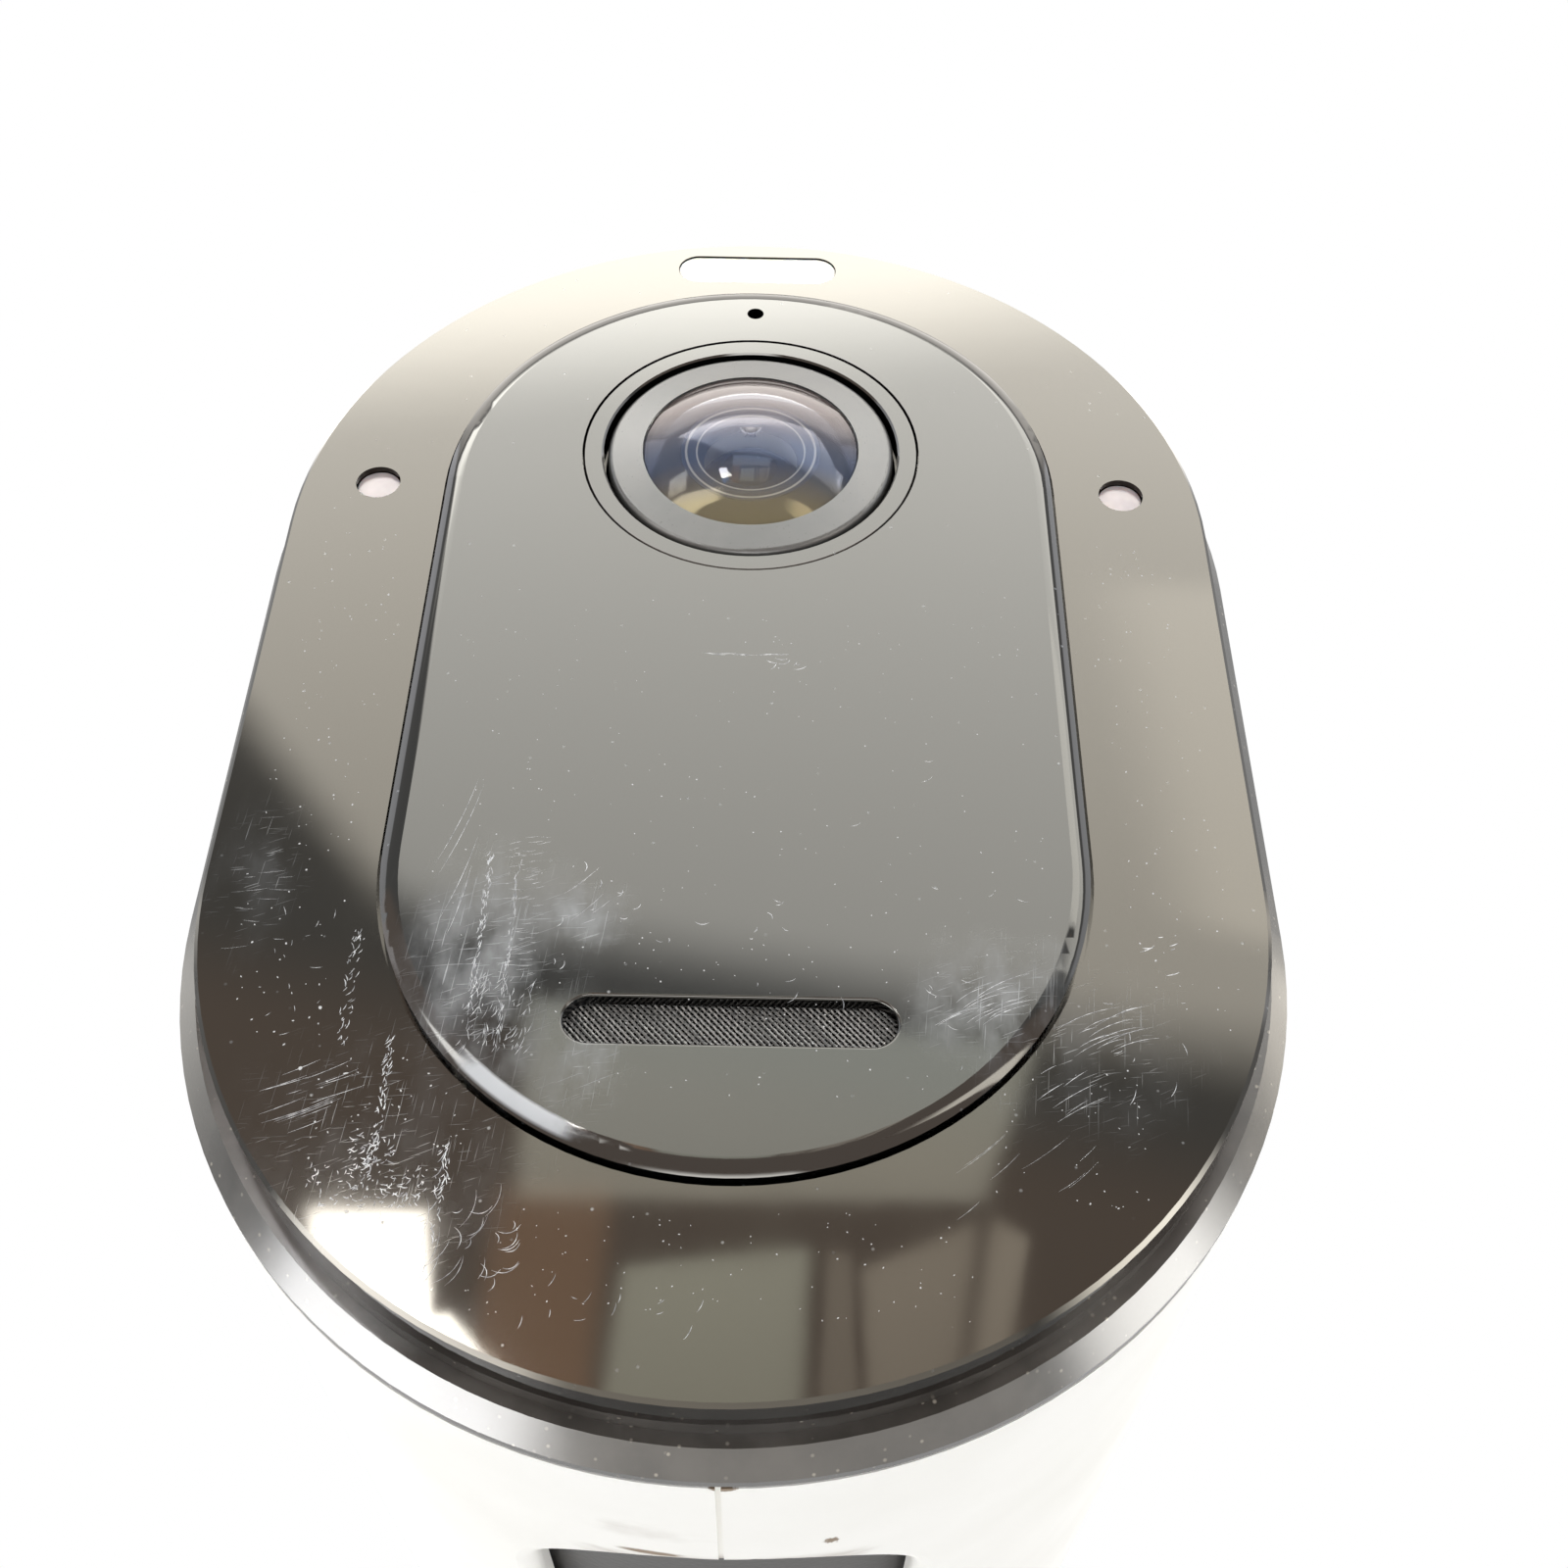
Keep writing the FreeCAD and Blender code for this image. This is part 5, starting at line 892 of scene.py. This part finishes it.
def card(name, corners, colour, low, high, fade, through_glass=False):
    """A glowing four-sided card that adds its light to what lies behind it. Its corners, in
    millimetres, go round from the lower left. The glow goes from low to high upwards, and fades
    out towards the edges over the share of the card given, across and upwards. Only gloss shows
    it, or only what lies behind glass."""
    material, tree = new_material(name)
    place = add_node(tree, "ShaderNodeSeparateXYZ", {
        0: add_node(tree, "ShaderNodeUVMap", uv_map="card")})
    shares = []
    for axis, share in zip("XY", fade):
        inward = add_node(tree, "ShaderNodeMath", {0: place.outputs[axis], 1: 0.5}, operation="PINGPONG")
        shares.append(add_node(tree, "ShaderNodeMapRange", {"Value": inward, "From Max": share},
                               interpolation_type="SMOOTHSTEP"))
    faded = add_node(tree, "ShaderNodeMath", {0: shares[0], 1: shares[1]}, operation="MULTIPLY")
    level = add_node(tree, "ShaderNodeMapRange", {
        "Value": place.outputs["Y"], "To Min": low, "To Max": high})
    glow = add_node(tree, "ShaderNodeEmission", {
        "Color": linear(colour),
        "Strength": add_node(tree, "ShaderNodeMath", {0: faded, 1: level}, operation="MULTIPLY")})
    finish_material(material, add_node(tree, "ShaderNodeAddShader", {
        0: glow, 1: add_node(tree, "ShaderNodeBsdfTransparent")}))
    lower_left, lower_right, upper_right, upper_left = (Vector(corner) * MM for corner in corners)
    cells = 10
    points = []
    for row in range(cells + 1):
        for column in range(cells + 1):
            below = lower_left.lerp(lower_right, column / cells)
            above = upper_left.lerp(upper_right, column / cells)
            points.append(below.lerp(above, row / cells))
    faces = [(first, first + 1, first + cells + 2, first + cells + 1)
             for first in (row * (cells + 1) + column for row in range(cells) for column in range(cells))]
    thing = mesh_object(name, points, faces)
    thing.data.materials.append(material)
    layer = thing.data.uv_layers.new(name="card")
    for loop in thing.data.loops:
        row, column = divmod(loop.vertex_index, cells + 1)
        layer.data[loop.index].uv = (column / cells, row / cells)
    thing.visible_camera = False
    thing.visible_diffuse = False
    thing.visible_glossy = not through_glass
    thing.visible_transmission = through_glass
    thing.visible_shadow = False


AHEAD = -500              # y of the first card in front of the face
APART = 1                 # from one card to the next, so that no two share a plane

# Cards in front of the face, each behind the one before: name, corners as x and z, colour, glow at
# the bottom and at the top, and the share that fades out, across and upwards
CARDS_AHEAD = (
    ("lit ceiling", ((-118, 250), (480, 134), (330, 690), (-450, 660)), "#fffdf8", 5.2, 9.6, (0.05, 0.09)),
    ("bright ceiling", ((-420, 430), (230, 540), (230, 790), (-420, 740)), "#fffdf6", 7.0, 7.0, (0.3, 0.3)),
    ("right wall", ((112, 262), (300, 214), (300, 420), (98, 420)), "#fffaf0", 2.6, 1.8, (0.2, 0.1)),
    ("brown room", ((-900, -600), (900, -600), (900, 20), (-900, 440)), "#cf9a70", 0.86, 0.86, (0.05, 0.05)),
    ("upper board", ((-74, 168), (64, 170), (84, 224), (-78, 238)), "#fbfff6", 3.4, 4.6, (0.05, 0.07)),
    ("lower board", ((-48, 88), (12, 88), (15, 160), (-42, 153)), "#f6fff2", 2.6, 4.2, (0.1, 0.05)),
    ("first fold", ((13, 88), (27, 88), (24, 158), (17, 160)), "#fff8ea", 1.2, 1.9, (0.12, 0.05)),
    ("brown door", ((-84, 80), (-44, 80), (-40, 180), (-80, 180)), "#e0a878", 2.4, 2.0, (0.2, 0.1)),
    ("window", ((-118, 112), (-88, 124), (-95, 169), (-131, 169)), "#ffffff", 44.0, 44.0, (0.06, 0.04)),
    ("window sill", ((-112, 108), (-66, 119), (-86, 140), (-112, 136)), "#ffffff", 40.0, 40.0, (0.08, 0.1)),
    ("low lamp", ((-170, -420), (170, -420), (170, -190), (-170, -190)), "#ffffff", 12.0, 12.0, (0.3, 0.3)),
    ("low left light", ((-420, -60), (-95, 10), (-95, 76), (-420, 110)), "#ffffff", 14.0, 14.0, (0.2, 0.2)),
    ("low right light", ((120, -30), (520, -110), (520, 10), (120, 40)), "#fffaf0", 9.0, 9.0, (0.25, 0.2)),
    ("second fold", ((29, 84), (47, 88), (62, 172), (25, 156)), "#fff8ea", 1.6, 3.0, (0.1, 0.04)),
    ("third fold", ((50, 92), (60, 100), (76, 168), (64, 174)), "#fff8ea", 2.6, 3.4, (0.16, 0.06)),
)

# The same for the lamps that only what lies behind glass shows
CARDS_IN_LENS = (
    ("left lamp in the lens", ((-450, 150), (-300, 150), (-300, 300), (-450, 300)),
     "#ffedc8", 26.0, 26.0, (0.1, 0.1)),
    ("right lamp in the lens", ((470, 250), (720, 250), (720, 480), (470, 480)),
     "#fff4e0", 22.0, 22.0, (0.1, 0.1)),
)

# The same for the cards above, beside, behind and below the object, with corners as x, y and z
CARDS_AROUND = (
    ("overhead", ((-420, -385, 500), (420, -385, 500), (420, 260, 500), (-420, 260, 500)),
     "#fff8f0", 3.0, 3.0, (0.2, 0.12)),
    ("left wall", ((-490, 0, 100), (-490, -480, 100), (-490, -480, 700), (-490, 0, 700)),
     "#f4f6ff", 2.2, 2.6, (0.1, 0.1)),
    ("right far wall", ((490, -480, 100), (490, 0, 100), (490, 0, 700), (490, -480, 700)),
     "#f4f6ff", 2.2, 2.6, (0.1, 0.1)),
    ("left light", ((-170, -260, -435), (-170, 120, -435), (-500, 120, -120), (-500, -260, -120)),
     "#ffffff", 24.0, 17.0, (0.3, 0.25)),
    ("right light", ((385, -260, -375), (385, 120, -375), (510, 120, -20), (510, -260, -20)),
     "#fffdf8", 17.0, 17.0, (0.3, 0.38)),
    ("behind left", ((-520, 330, -60), (-520, 0, -60), (-520, 0, 330), (-520, 330, 330)),
     "#fffaf0", 1.6, 1.6, (0.2, 0.2)),
    ("behind right", ((520, 0, -60), (520, 330, -60), (520, 330, 330), (520, 0, 330)),
     "#fff6e6", 4.6, 3.6, (0.2, 0.2)),
    ("pale ground", ((500, -280, -450), (500, 140, -450), (-340, 140, -450), (-340, -280, -450)),
     "#fff8ee", 2.2, 3.0, (0.15, 0.1)),
)


def upright(corners, y):
    """The corners of an upright card at y, from their x and z."""
    return [(x, y, z) for x, z in corners]


def make_cards():
    """What gloss and glass show: a lit ceiling, a window, boards, walls and a duller room below."""
    for layer, (name, corners, *look) in enumerate(CARDS_AHEAD):
        card(name, upright(corners, AHEAD - layer * APART), *look)
    for name, corners, *look in CARDS_IN_LENS:
        card(name, upright(corners, AHEAD), *look, through_glass=True)
    for name, corners, *look in CARDS_AROUND:
        card(name, corners, *look)


photographed_view()
make_world()
make_floor()
make_cards()
scene.view_settings.view_transform = "Standard"
